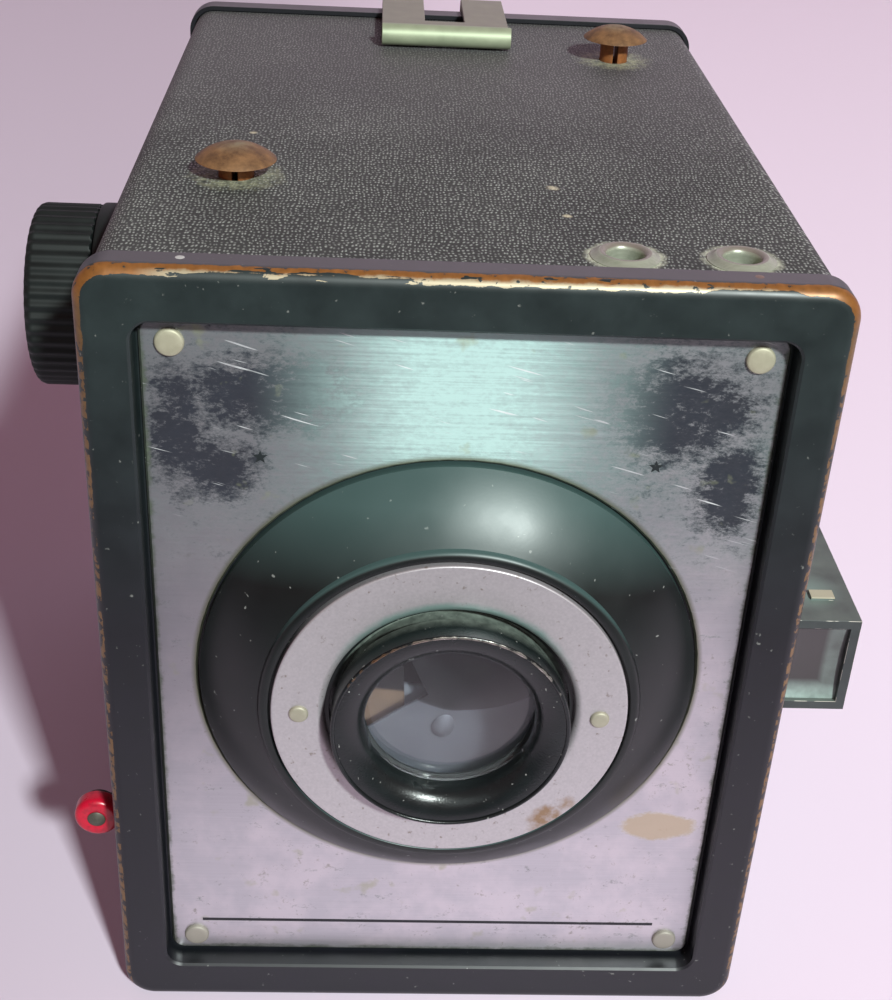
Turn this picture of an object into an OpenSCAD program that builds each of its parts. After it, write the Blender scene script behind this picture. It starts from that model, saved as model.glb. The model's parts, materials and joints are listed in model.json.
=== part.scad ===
// Box camera for 6 x 9 cm frames on 120 roll film.
// Millimetres. X runs to the viewer's right of the front, Y from front to back, Z up from the table.
// Depths in the modules count from the front face of the panel's border; placed() moves them to the origin,
// which lies on the table under the middle of the camera.

/* [Front panel] */
// Width over the front panel's lip
panel_w = 82; // [80:0.5:90]
// Height over the front panel's lip
panel_h = 105.5; // [104:0.5:115]
// Corner radius of the front panel and the back door
panel_r = 4; // [3.5:0.25:7]
// Radius of the rounded edge round the front panel
panel_edge = 1.6; // [1.2:0.1:3]
// Sheet thickness of the front panel and the back door
panel_sheet = 0.7; // [0.6:0.1:1.1]
// Depth of the front panel's lip
panel_depth = 4.2; // [4:0.1:6]
// Width of the raised border at the sides
border_w = 6; // [5:0.25:7]
// Height of the raised border at top and bottom
border_h = 6.4; // [5:0.2:7]
// Corner radius of the recess for the faceplate
recess_r = 2; // [1:0.25:3]
// Depth from the border down to the faceplate
recess_depth = 2.6; // [2:0.1:3]
// Thickness of the recess walls and floor
recess_sheet = 0.8; // [0.6:0.1:1]
// Radius of the nails that hold the panel to the body
nail_r = 0.6; // [0.4:0.05:0.8]
// Distance of the top and bottom nails from the middle
nail_x = 30; // [24:1:32]
// Distance of the side nails from the middle
nail_z = 32; // [26:1:42]

/* [Faceplate] */
// Thickness of the faceplate
plate_t = 0.6; // [0.4:0.1:0.8]
// Gap between the faceplate and the recess
plate_gap = 0.3; // [0.1:0.1:0.6]
// Radius of the faceplate rivet heads
rivet_head_r = 1.6; // [1.3:0.1:2]
// Distance of the rivets from the faceplate's side edges
rivet_inset_x = 3.25; // [2.5:0.25:4]
// Distance of the rivets from the faceplate's top and bottom edges
rivet_inset_z = 2.65; // [2.4:0.05:4]

/* [Lens mount] */
// Radius of the black surround where it meets the faceplate
surround_r = 29.6; // [28:0.2:31]
// Radius of the surround's front shoulder
shoulder_r = 22.4; // [22:0.1:24]
// Height of the surround's shoulder in front of the border
surround_h = 4.4; // [3.6:0.1:4.6]
// Wall of the surround
surround_wall = 1.5; // [1:0.1:2]
// Outer radius of the trim ring
ring_r = 20.8; // [19.5:0.1:21]
// Radius of the trim ring's opening
ring_bore_r = 14.6; // [14.4:0.1:15.4]
// Thickness of the trim ring
ring_t = 1.3; // [1:0.1:1.6]
// Height of the trim ring's face in front of the border
ring_front = 4.74; // [4.6:0.02:5.4]
// Distance of the trim ring's rivets from the lens axis
ring_rivet_x = 17.5; // [17:0.1:18.5]
// Outer radius of the lens hood
hood_r = 13.8; // [13:0.1:14]
// Height of the hood's rim in front of the border
hood_front = 8.1; // [7.6:0.1:10]
// Radius of the hood's inner mouth
mouth_r = 9.9; // [9:0.1:10]
// Radius of the lens
lens_r = 10.5; // [10.2:0.1:11]
// Thickness of the lens at its edge
lens_t = 2; // [1.5:0.1:2.4]
// Radius of curvature of the lens faces
lens_curve = 60; // [40:1:90]

/* [Shutter] */
// Radius of the lens stop
aperture_r = 3.4; // [2.5:0.1:3.6]
// Distance of the blade's pivot below the lens axis
blade_drop = 10; // [9:0.25:11]
// Reach of the blade's vane from its pivot
blade_reach = 15.5; // [14.5:0.25:17]
// Radius of the blade's tail
tail_r = 11.5; // [11:0.25:12.5]
// Thickness of the blade
blade_t = 0.4; // [0.3:0.05:0.5]
// Turn of the blade from shut to open, in degrees
blade_swing = 48; // [44:1:52]
// Turn of the release lever, in degrees
lever_swing = 17; // [15:0.5:19]
// Thickness of the release lever
lever_t = 1; // [0.8:0.1:1.2]
// Distance of the lever's pivot from the middle
lever_x = 24; // [22:0.5:26]
// Radius of the lever's button
button_r = 2.9; // [2.5:0.1:3.2]
// Thickness of the lever's button
button_t = 2.4; // [2:0.1:2.6]
// Distance of the button's middle outside the panel's edge
button_out = 3.1; // [2.8:0.1:6]
// Height of the button's middle above the table
button_z = 26.6; // [24:0.2:30]

/* [Body] */
// Length of the body shell
body_len = 109.8; // [104:0.2:120]
// Sheet thickness of the body shell
body_sheet = 1; // [0.8:0.1:1.2]
// Thickness of the leatherette covering
cover_t = 0.4; // [0.3:0.05:0.6]
// Gap between the covering and the lips of the panel and the door
lip_gap = 0.15; // [0.1:0.05:0.5]
// Radius of the strap studs' heads
stud_head_r = 4.85; // [4:0.05:6]
// Radius of the strap studs' stems
stud_stem_r = 2.1; // [1.8:0.1:2.4]
// Distance of the left stud from the middle
stud_x = 26.7; // [20:0.1:28]
// Distance of the right stud from the middle
stud_right_x = 25.5; // [20:0.1:28]
// Depth of the left stud behind the front
stud_left_y = 31.2; // [26:0.2:44]
// Depth of the right stud behind the front
stud_right_y = 90.1; // [60:0.1:95]
// Height of the left stud's head above the covering
stud_left_lift = 2; // [1.5:0.1:4]
// Height of the right stud's head above the covering
stud_right_lift = 3.3; // [1.5:0.1:4]
// Bore radius of the flash sockets
socket_r = 2; // [1.5:0.05:2.2]
// Distance between the flash sockets
socket_pitch = 12.7; // [11:0.1:13]
// Distance of the middle of the sockets from the middle of the body
socket_x = 23.15; // [10:0.05:24]
// Depth of the flash sockets behind the front
socket_y = 9.3; // [8.9:0.1:11.4]

/* [Winder] */
// Depth of the spool axes behind the front
spool_y = 31.7; // [29:0.1:34]
// Distance of the spool axes from the shell's top and bottom
spool_room = 14.8; // [13.4:0.1:15]
// Radius of the spool's flanges
flange_r = 12.6; // [12:0.1:12.8]
// Radius of the spool's core
core_r = 5.5; // [5:0.1:6.5]
// Length of the spool
spool_len = 65.5; // [64:0.25:66]
// Radius of the winding knob
knob_r = 11.1; // [9:0.1:12]
// Length of the winding knob
knob_len = 7.6; // [5.5:0.1:8]
// Number of flutes round the knob
knob_flutes = 46; // [30:1:54]
// Depth of the knob's flutes
flute_depth = 0.4; // [0.2:0.05:0.6]
// Radius of the collar under the knob
collar_r = 11.3; // [8.5:0.1:12]
// Length of the collar under the knob
collar_len = 2.95; // [2.9:0.05:6]
// Radius of the winder shaft
shaft_r = 2; // [1.7:0.1:2.2]
// Width of the key that turns the spool
key_w = 5.6; // [5:0.1:6]
// Thickness of the key
key_t = 1.2; // [1:0.1:1.4]
// Travel of the knob when it is pulled out
pull = 4.5; // [4:0.1:4.6]

/* [Film carrier] */
// Width of the film gate
gate_w = 57; // [55:0.5:58]
// Room above and below the film gate, for the rollers
gate_room = 9; // [7.5:0.05:12]
// Sheet thickness of the carrier and the light cone
carrier_sheet = 0.8; // [0.6:0.1:1]
// Radius of the film rollers
roller_r = 2.4; // [2:0.1:2.5]
// Radius of the roller pins
roller_pin_r = 1; // [0.8:0.05:1.2]

/* [Finder] */
// Width of the finder's housing
finder_w = 10.75; // [9:0.05:14]
// Height of the finder's housing
finder_h = 13.6; // [12:0.2:18]
// Length of the finder's housing
finder_len = 45; // [35:1:80]
// Depth of the finder's front behind the panel's front
finder_y = 7.5; // [6:0.1:12]
// Height of the finder's middle above the table
finder_z = 52.1; // [48:0.1:60]
// Sheet thickness of the finder's housing
finder_sheet = 0.7; // [0.5:0.05:0.9]

/* [Back door] */
// Radius of the rounded edge round the back door
door_edge = 1.8; // [1.5:0.1:2.4]
// Overlap of the door's lip on the body
door_overlap = 1; // [0.6:0.1:2]
// Radius of the hinge knuckles
knuckle_r = 1.3; // [1.1:0.05:1.4]
// Radius of the hinge pin
hinge_pin_r = 0.6; // [0.4:0.05:0.7]
// Length of the hinge
hinge_len = 56; // [40:1:60]
// Radius of the red window
window_r = 5.2; // [4:0.1:6]
// Height of the red window above the table
window_z = 36; // [32:0.5:44]
// Width of the latch
latch_w = 19.7; // [16:0.1:24]
// Width of the slot between the latch's arms
latch_slot = 6.2; // [5:0.1:8]
// Sheet thickness of the latch
latch_t = 0.8; // [0.6:0.05:1]
// Reach of the latch over the body, from the door's front plane
latch_reach = 23.1; // [14:0.1:28]
// Radius of the latch's rolled nose
latch_roll = 1.6; // [1:0.1:2]

/* [Hidden] */
$fn = 64;
// How far a cutting shape runs past a face
cut = 1;
// Radial clearance of a pin that turns in its bore
running = 0.05;
// Room between pieces that pass each other
loose = 0.3;

// Middle heights and the shell's walls
mid_z = panel_h / 2;
lens_z = mid_z;
lip_x = panel_w / 2 - panel_sheet;
cover_x = lip_x - lip_gap;
shell_x = cover_x - cover_t;
inner_x = shell_x - body_sheet;
cover_bottom = panel_sheet + lip_gap;
cover_top = panel_h - cover_bottom;
inner_bottom = cover_bottom + cover_t + body_sheet;
inner_top = panel_h - inner_bottom;
cover_r = panel_r - panel_sheet - lip_gap;
shell_bottom = cover_bottom + cover_t;
shell_top = panel_h - shell_bottom;
shell_r = cover_r - cover_t;

// Depths of the front panel and the faceplate
recess_w = panel_w - 2 * border_w;
recess_h = panel_h - 2 * border_h;
plate_w = recess_w - 2 * plate_gap;
plate_h = recess_h - 2 * plate_gap;
floor_y = recess_depth + plate_t;
floor_back = floor_y + recess_sheet;
nail_y = (panel_edge + panel_depth) / 2;
shell_front = panel_sheet + 2 * loose;
cover_front = shell_front + panel_sheet;
shell_back = shell_front + body_len;

// Rivets: shanks and the clinched ends behind the sheet
rivet_head_h = 0.6;
rivet_shank_r = 0.8;
clinch_r = 1.2;
clinch_t = 0.5;
rivet_x = plate_w / 2 - rivet_inset_x;
rivet_z = plate_h / 2 - rivet_inset_z;

// Lens mount: heights in front of the border, back from the trim ring
ring_rivet_r = 1.15;
ring_rivet_h = 0.45;
ring_seat = ring_front - ring_t;
web_t = 1.2;
web_back = ring_seat - web_t;
hood_flange_t = 0.8;
hood_back = web_back - hood_flange_t;
hood_flange_w = 2.2;
hood_flange_r = hood_r + hood_flange_w;
hood_lip = 0.5;
funnel_depth = 2.9;
mouth_land = 0.4;
lens_seat = hood_front - funnel_depth - mouth_land;
light_room = 1;
light_r = hood_flange_r + light_room;
lens_bulge = lens_curve - sqrt(lens_curve * lens_curve - lens_r * lens_r);

// Shutter: depths behind the border, and the drive between lever and blade
button_gap = 1.3;
button_y = panel_depth + button_gap;
lever_y = button_y + button_t;
blade_y = lever_y - 3 * loose - blade_t;
spring_room = 1.1;
board_y = lever_y + lever_t + spring_room;
board_t = 0.8;
board_back = board_y + board_t;
blade_pivot_r = 1;
blade_z = lens_z - blade_drop;
lever_pivot_r = 1.5;
pivot_rim = 1;
button_x = panel_w / 2 + button_out;
button_throw = (button_x - lever_x) * tan(lever_swing / 2);
lever_z = button_z - button_throw;
drive_angle = atan2(blade_z - lever_z, lever_x);
drive_span = norm([lever_x, blade_z - lever_z]);
drive_slope = tan(lever_swing / 2);
drive_r = drive_slope * drive_span / (sin(blade_swing / 2) + drive_slope * cos(blade_swing / 2));
drive_pin_r = 0.9;
drive_pin_x = drive_r * cos(180 + drive_angle + blade_swing / 2);
drive_pin_z = blade_z + drive_r * sin(180 + drive_angle + blade_swing / 2);
vane_overlap = 0.7;
vane_half = asin((aperture_r + vane_overlap) / blade_drop);
lever_arm_w = 3.6;
lever_hub_r = 3.4;
fork_prong = 1;
fork_w = 2 * (drive_pin_r + loose + fork_prong);
fork_depth = 1.6;
fork_reach = drive_span - drive_r + fork_depth + fork_prong;
post_r = 1.6;
board_w = 62;
board_drop = 38.75;
board_rise = 23;
board_low = lens_z - board_drop;
board_high = lens_z + board_rise;
post_inset = 4;
post_x = board_w / 2 - post_inset;
low_post_x = 10;
post_spots = [[-post_x, board_high - post_inset], [post_x, board_high - post_inset],
    [post_x, board_low + post_inset], [-low_post_x, board_low + post_inset]];
post_blind = 2;
screw_r = 0.8;
screw_head_r = 1.5;
screw_head_t = 0.8;
screw_slot = 0.4;

// Winder: places along X, outwards from the spool on the left
spool_top_z = inner_top - spool_room;
spool_low_z = inner_bottom + spool_room;
collar_face = cover_x + collar_len;
knob_gap = 0.2;
knob_inner = collar_face + knob_gap;
knob_outer = knob_inner + knob_len;
hub_wall = 1.2;
hub_r = key_w / 2 + hub_wall;
collar_hub_r = hub_r + hub_wall;
bush_len = 1.2;
key_reach = 2.15;
key_tip = spool_len / 2 - key_reach;
key_root = collar_face - bush_len - pull - running;
wheel_rim = 2.4;
wheel_r = hub_r + wheel_rim;
wheel_t = 1.6;
wheel_gap = 0.2;
wheel_x = inner_x - wheel_gap;
wheel_hub_x = collar_face - bush_len - hub_wall;
wheel_teeth = 24;
tooth_depth = 0.7;
key_gap = 0.2;

// Film carrier: a bent frame, the cone inside it and the film's path
spool_gap = 0.95;
carrier_x = spool_len / 2 + spool_gap + carrier_sheet;
carrier_front = board_back + 2 * screw_head_t;
cone_front = carrier_front + carrier_sheet;
cone_mouth = 26;
gate_h = inner_top - inner_bottom - 2 * gate_room;
gate_inset = 5.8;
gate_y = shell_back - gate_inset;
gate_back = gate_y + carrier_sheet;
gate_flange = 3;
side_gap = 1.3;
carrier_low = inner_bottom + side_gap;
carrier_high = inner_top - side_gap;
front_gap = 5.6;
front_low = inner_bottom + front_gap;
front_high = inner_top - front_gap;
roller_inset = 1.3;
roller_y = gate_y - roller_r - roller_inset;
roller_gap = 0.75;
roller_off = gate_h / 2 + carrier_sheet + roller_gap + roller_r;
roller_len = spool_len - 2 * roller_gap;
flange_t = 0.9;
pin_reach = 2.75;
pin_end_gap = 0.7;
pin_tip = spool_len / 2 - pin_reach;
pin_r = 2;
pin_lift = 1;
pin_head_r = 3.2;
pin_head_t = 0.8;
leaf_t = 0.4;

// Back door and hinge
hinge_y = shell_back + loose + knuckle_r;
hinge_leaf_t = 0.6;
hinge_z = inner_bottom + hinge_leaf_t - knuckle_r;
door_y = hinge_y + knuckle_r + loose;
door_back = door_y + panel_sheet;
door_lip_y = shell_back - door_overlap;
foot_rise = 4;
lip_foot = hinge_z + foot_rise;
foot_step = 0.2;
knuckles = 5;
knuckle_gap = 0.2;
knuckle_w = hinge_len / knuckles;
film_gap = 0.5;
pad_y = gate_back + film_gap;
pad_t = 0.7;
bow_rise = door_y - pad_y - pad_t;
bow_half = 20;
bow_r = (bow_half * bow_half + bow_rise * bow_rise) / (2 * bow_rise);
window_ring_w = 2.2;
window_ring_t = 0.6;
window_wall = 0.75;
window_hole_r = window_r + window_wall + running;

// Latch: its pin lies behind the door, its nose over the body
latch_pin_r = 0.6;
latch_knuckle_r = 1.2;
latch_pin_y = door_back + loose + latch_knuckle_r;
latch_gap = 0.5;
latch_pin_z = cover_top - latch_knuckle_r;
latch_top = panel_h + latch_gap + latch_t;
latch_rear = latch_pin_y + latch_knuckle_r;
latch_bend = 1.6;
roll_z = cover_top + loose + latch_roll;
roll_y = door_y - latch_reach + latch_roll;
nose_len = 8.1;
slot_y = roll_y + nose_len;

// The camera's front and rear ends, which set the origin
middle_y = (latch_rear - hood_front) / 2;

// Moves a piece from panel depths to the part's origin
module placed() {
    translate([0, -middle_y, 0]) children();
}

// Gives a shape drawn in X and Z a thickness, from depth y back to y + t
module slab(y, t) {
    translate([0, y + t, 0]) rotate([90, 0, 0]) linear_extrude(t) children();
}

// Carries a section drawn in Y and Z along X
module across(x0, x1) {
    translate([x0, 0, 0]) rotate([90, 0, 90]) linear_extrude(x1 - x0) children();
}

// Turns a profile of radius and forward height about the lens axis
module turned() {
    translate([0, 0, lens_z]) rotate([90, 0, 0]) rotate_extrude() children();
}

// Round bars along each axis, and a box between two corners
module bar_x(y, z, r, x0, x1) {
    translate([x0, y, z]) rotate([0, 90, 0]) cylinder(r = r, h = x1 - x0);
}

module bar_y(x, z, r, y0, y1) {
    translate([x, y1, z]) rotate([90, 0, 0]) cylinder(r = r, h = y1 - y0);
}

module bar_z(x, y, r, z0, z1) {
    translate([x, y, z0]) cylinder(r = r, h = z1 - z0);
}

module block(a, b) {
    translate(a) cube(b - a);
}

// A low dome standing on z = 0
module dome(r, h) {
    ball = (r * r + h * h) / (2 * h);
    intersection() {
        translate([0, 0, h - ball]) sphere(ball);
        cylinder(r = r, h = h);
    }
}

// A rectangle with round corners about the middle of the panel
module rounded_rect(w, h, r) {
    translate([0, mid_z]) {
        square([w - 2 * r, h], center = true);
        square([w, h - 2 * r], center = true);
        for (x = [-1, 1], z = [-1, 1])
            translate([x * (w / 2 - r), z * (h / 2 - r)]) circle(r);
    }
}

// Carries a section round a rectangle; the section's x runs outwards from the corner centres
module round_frame(w, h, r) {
    for (k = [0 : 3]) {
        run = (k % 2 == 0 ? w : h) / 2 - r;
        out = (k % 2 == 0 ? h : w) / 2 - r;
        rotate(90 * k) {
            translate([-run, out, 0]) rotate([90, 0, 90]) linear_extrude(2 * run) children();
            translate([run, out, 0]) rotate_extrude(angle = 90) children();
        }
    }
}

// The section of a pressed lip with a rounded front edge, and a strip of the flat sheet inside it
lip_strip = 1;
module lip_section(r, edge, depth) {
    translate([r - edge - lip_strip, -panel_sheet]) square([lip_strip, panel_sheet]);
    translate([r - edge, -edge]) intersection() {
        difference() {
            circle(edge);
            circle(edge - panel_sheet);
        }
        square(edge);
    }
    translate([r - panel_sheet, -depth]) square([panel_sheet, depth - edge]);
}

// The nails' shapes: through the lip, the covering and the shell on all four sides
module nail_bars(r) {
    reach = panel_sheet + lip_gap + cover_t + body_sheet;
    for (x = [-nail_x, nail_x]) {
        bar_z(x, nail_y, r, 0, reach);
        bar_z(x, nail_y, r, panel_h - reach, panel_h);
    }
    for (z = [mid_z - nail_z, mid_z + nail_z]) {
        bar_x(nail_y, z, r, -panel_w / 2, -panel_w / 2 + reach);
        bar_x(nail_y, z, r, panel_w / 2 - reach, panel_w / 2);
    }
}

// Places its children at the four faceplate rivets, or at the two trim ring rivets
module at_plate_rivets() {
    for (x = [-rivet_x, rivet_x], z = [-rivet_z, rivet_z])
        translate([x, 0, mid_z + z]) children();
}

module at_ring_rivets() {
    for (x = [-ring_rivet_x, ring_rivet_x]) translate([x, 0, lens_z]) children();
}

// A rivet along Y: a domed head in front of depth y, a shank and a clinched end behind depth y_back
module rivet(head_r, head_h, shank_r, y, y_back) {
    translate([0, y, 0]) rotate([90, 0, 0]) dome(head_r, head_h);
    bar_y(0, 0, shank_r, y, y_back);
    bar_y(0, 0, clinch_r, y_back, y_back + clinch_t);
}

// The holes that go through the shell and its covering alike
module wall_cuts() {
    nail_bars(nail_r + running);
    bar_x(spool_y, spool_top_z, collar_hub_r + running, -cover_x - cut, -inner_x + cut);
    block([-cover_x - cut, lever_y - loose, lever_z - button_throw - lever_arm_w / 2],
        [-inner_x + cut, lever_y + lever_t + loose, button_z + lever_arm_w / 2]);
    for (s = [[-stud_x, stud_left_y], [stud_right_x, stud_right_y]])
        bar_z(s[0], s[1], stud_stem_r + running, inner_top - cut, cover_top + cut);
    at_sockets() bar_z(0, 0, socket_sleeve_r + running, inner_top - cover_top - cut, cut);
    for (y = finder_screw_ys)
        bar_x(y, finder_z, screw_r + running, inner_x - cut, cover_x + cut);
}

// Folded sheet-steel sleeve, open at both ends, between two heights
module sleeve(low, high) {
    placed() color("#3a3a3c") difference() {
        slab(shell_front, body_len) intersection() {
            difference() {
                rounded_rect(2 * shell_x, shell_top - shell_bottom, shell_r);
                rounded_rect(2 * inner_x, inner_top - inner_bottom, shell_r - body_sheet);
            }
            translate([-panel_w, low]) square([2 * panel_w, high - low]);
        }
        wall_cuts();
    }
}

// The sleeve's top and floor carry the rounded corners, and meet the flat sides there
module body_top() {
    sleeve(shell_top - shell_r, shell_top);
}

module body_sides() {
    sleeve(shell_bottom + shell_r, shell_top - shell_r);
}

module body_floor() {
    sleeve(shell_bottom, shell_bottom + shell_r);
}

// Leatherette wrapped round the sleeve
module body_covering() {
    placed() color("#2c2a2e") difference() {
        slab(cover_front, shell_back - cover_front) difference() {
            rounded_rect(2 * cover_x, cover_top - cover_bottom, cover_r);
            rounded_rect(2 * shell_x, shell_top - shell_bottom, shell_r);
        }
        wall_cuts();
    }
}

// Pressed and enamelled panel with a raised border round a recess
module front_panel() {
    wall_w = recess_w + 2 * recess_sheet;
    wall_h = recess_h + 2 * recess_sheet;
    placed() color("#1b2325") difference() {
        union() {
            translate([0, 0, mid_z]) rotate([90, 0, 0])
                round_frame(panel_w, panel_h, panel_r) lip_section(panel_r, panel_edge, panel_depth);
            slab(0, panel_sheet) difference() {
                rounded_rect(panel_w - 2 * panel_edge, panel_h - 2 * panel_edge, panel_r - panel_edge);
                rounded_rect(recess_w, recess_h, recess_r);
            }
            slab(0, floor_back) difference() {
                rounded_rect(wall_w, wall_h, recess_r + recess_sheet);
                rounded_rect(recess_w, recess_h, recess_r);
            }
            slab(floor_y, recess_sheet)
                rounded_rect(recess_w + recess_sheet, recess_h + recess_sheet, recess_r);
        }
        nail_bars(nail_r + running);
        bar_y(0, lens_z, light_r, floor_y - cut, floor_back + cut);
        at_plate_rivets() bar_y(0, 0, rivet_shank_r + running, floor_y - cut, floor_back + cut);
    }
}

// Nails through the lips into the shell
module panel_nails() {
    placed() color("#b9b4ac") nail_bars(nail_r);
}

// Bright sheet faceplate round the lens surround
module faceplate() {
    placed() color("#b9b8c0") difference() {
        slab(recess_depth, plate_t) rounded_rect(plate_w, plate_h, recess_r - plate_gap);
        bar_y(0, lens_z, surround_r + loose, recess_depth - cut, floor_y + cut);
        at_plate_rivets() bar_y(0, 0, rivet_shank_r + running, recess_depth - cut, floor_y + cut);
    }
}

// Four domed rivets in the faceplate's corners
module faceplate_rivets() {
    placed() color("#c9c5b4") at_plate_rivets()
        rivet(rivet_head_r, rivet_head_h, rivet_shank_r, recess_depth, floor_back);
}

// Black dished surround with a seat for the trim ring
surround_edge = 0.7;
seat_r = ring_r + loose;
slope_foot = [surround_r, surround_edge - recess_depth];
shoulder_round = 0.5;
slope_top = [shoulder_r, surround_h - shoulder_round];
slope_run = slope_top - slope_foot;
slope_normal = [slope_run[1], -slope_run[0]] / norm(slope_run);
slope_bulge = 0.8;
slope_steps = 8;
slope = [for (i = [0 : slope_steps])
    let (t = i / slope_steps)
    slope_foot + slope_run * t + slope_normal * 4 * slope_bulge * t * (1 - t)];

module lens_surround() {
    placed() color("#14191a") difference() {
        turned() polygon(concat(
            [[surround_r, -floor_y]],
            slope,
            [[shoulder_r - shoulder_round, surround_h], [seat_r, surround_h], [seat_r, ring_seat],
             [hood_r + loose, ring_seat], [hood_r + loose, web_back], [shoulder_r - surround_wall, web_back],
             [surround_r - surround_wall, -floor_y]]));
        at_ring_rivets() bar_y(0, 0, rivet_shank_r + running, -ring_front - cut, -web_back + cut);
    }
}

// Flat trim ring with a rounded inner edge
ring_round = 1;
module trim_ring() {
    placed() color("#b5b1b4") difference() {
        turned() difference() {
            translate([ring_bore_r, ring_seat]) square([ring_r - ring_bore_r, ring_t]);
            translate([ring_bore_r, ring_front - ring_round]) difference() {
                square(ring_round);
                translate([ring_round, 0]) circle(ring_round);
            }
        }
        at_ring_rivets() bar_y(0, 0, rivet_shank_r + running, -ring_front - cut, -ring_seat + cut);
    }
}

// Two small rivets in the trim ring
module trim_ring_rivets() {
    placed() color("#a59a78") at_ring_rivets()
        rivet(ring_rivet_r, ring_rivet_h, rivet_shank_r, -ring_front, -web_back);
}

// Black hood: a short barrel with a hollow throat, held by a flange behind the surround
rim_round = 0.4;
barrel_step = 0.6;
lens_fit = 0.1;
hood_seat_r = lens_r + lens_fit;
throat_steps = 6;
throat = [for (i = [0 : throat_steps])
    let (a = 90 * i / throat_steps)
    [mouth_r + (hood_r - hood_lip - mouth_r) * (1 - cos(a)),
     hood_front - funnel_depth + funnel_depth * sin(a)]];

module lens_hood() {
    placed() color("#101516") turned() polygon(concat(
        [[mouth_r, lens_seat]],
        [for (p = throat) p],
        [[hood_r - rim_round / 2, hood_front], [hood_r, hood_front - rim_round], [hood_r, ring_front],
         [hood_r - barrel_step, ring_front], [hood_r - barrel_step, web_back],
         [hood_flange_r, web_back], [hood_flange_r, hood_back],
         [hood_seat_r, hood_back], [hood_seat_r, lens_seat]]));
}

// Meniscus lens
module taking_lens() {
    placed() color("#c8d4d8", 0.4) translate([0, -lens_seat, lens_z]) rotate([-90, 0, 0]) difference() {
        cylinder(r = lens_r, h = lens_t);
        translate([0, 0, lens_t + lens_curve - lens_bulge / 2]) sphere(lens_curve, $fn = 256);
    }
}

// Spring ring that holds the lens in the hood
retainer_t = 0.5;
module lens_retainer() {
    placed() color("#8d8d8f") translate([0, -lens_seat + lens_t, lens_z]) rotate([-90, 0, 0]) difference() {
        cylinder(r = lens_r, h = retainer_t);
        translate([0, 0, -cut]) cylinder(r = mouth_r, h = 2 * cut + retainer_t);
    }
}

// Sheet that carries the shutter, with the lens stop in it
module shutter_board() {
    placed() color("#8a8a90") difference() {
        slab(board_y, board_t) translate([-board_w / 2, board_low]) square([board_w, board_high - board_low]);
        bar_y(0, lens_z, aperture_r, board_y - cut, board_back + cut);
        bar_y(0, blade_z, blade_pivot_r + running, board_y - cut, board_back + cut);
        bar_y(-lever_x, lever_z, lever_pivot_r + running, board_y - cut, board_back + cut);
        for (p = post_spots) bar_y(p[0], p[1], screw_r + running, board_y - cut, board_back + cut);
    }
}

// Pillars from the panel's floor to the shutter board
module shutter_posts() {
    placed() color("#9a8f66") for (p = post_spots) difference() {
        bar_y(p[0], p[1], post_r, floor_back, board_y);
        bar_y(p[0], p[1], screw_r + running, floor_back + post_blind, board_y + cut);
    }
}

// Screws through the board into the pillars
module shutter_screws() {
    placed() color("#a9a9ab") for (p = post_spots) difference() {
        union() {
            bar_y(p[0], p[1], screw_r, floor_back + post_blind + loose, board_back);
            bar_y(p[0], p[1], screw_head_r, board_back, board_back + screw_head_t);
        }
        translate([p[0], board_back + screw_head_t, p[1]])
            cube([2 * screw_head_r + cut, screw_head_t, screw_slot], center = true);
    }
}

// Shouldered stud with a domed head that the blade turns on
module blade_pivot() {
    placed() color("#b9b9bd") translate([0, 0, blade_z]) {
        bar_y(0, 0, blade_pivot_r, blade_y - loose, board_back);
        bar_y(0, 0, 2 * blade_pivot_r, blade_y + blade_t + loose, board_y);
        translate([0, blade_y - loose, 0]) rotate([90, 0, 0]) dome(1.5 * blade_pivot_r, 2 * loose);
    }
}

// Sheet blade: a vane over the stop and a broad tail below its pivot
tail_tilt = 38.5;
tail_rise = 4.9;
module shutter_blade() {
    placed() color("#97979d") slab(blade_y, blade_t) translate([0, blade_z]) difference() {
        union() {
            intersection() {
                circle(blade_reach);
                polygon([[0, 0], 2 * blade_reach * [sin(vane_half), cos(vane_half)],
                    2 * blade_reach * [-sin(vane_half), cos(vane_half)]]);
            }
            intersection() {
                circle(tail_r);
                rotate(tail_tilt) translate([-2 * tail_r, tail_rise - 4 * tail_r]) square(4 * tail_r);
            }
        }
        circle(blade_pivot_r + running);
    }
}

// Pin on the back of the blade that the lever's fork carries
module drive_pin() {
    placed() color("#a8a8ac")
        bar_y(drive_pin_x, drive_pin_z, drive_pin_r, blade_y + blade_t, lever_y + lever_t);
}

// Headed stud that the lever turns on
module lever_pivot() {
    placed() color("#9f9fa3") translate([-lever_x, 0, lever_z]) {
        bar_y(0, 0, lever_pivot_r, lever_y - loose, board_back);
        bar_y(0, 0, lever_pivot_r + pivot_rim, lever_y - 3 * loose, lever_y - loose);
    }
}

// Coiled wire between lever and board, with one leg on each
wire = 0.4;
coil_gap = 0.5;
coil_r = lever_pivot_r + coil_gap;
coil_leg = 9;
leg_angles = [160, 300];
module lever_spring() {
    placed() color("#77777c") slab(lever_y + lever_t + loose, wire) translate([-lever_x, lever_z]) {
        difference() {
            circle(coil_r + wire);
            circle(coil_r);
        }
        for (a = leg_angles) rotate(a) translate([0, coil_r]) square([coil_leg, wire]);
    }
}

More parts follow.
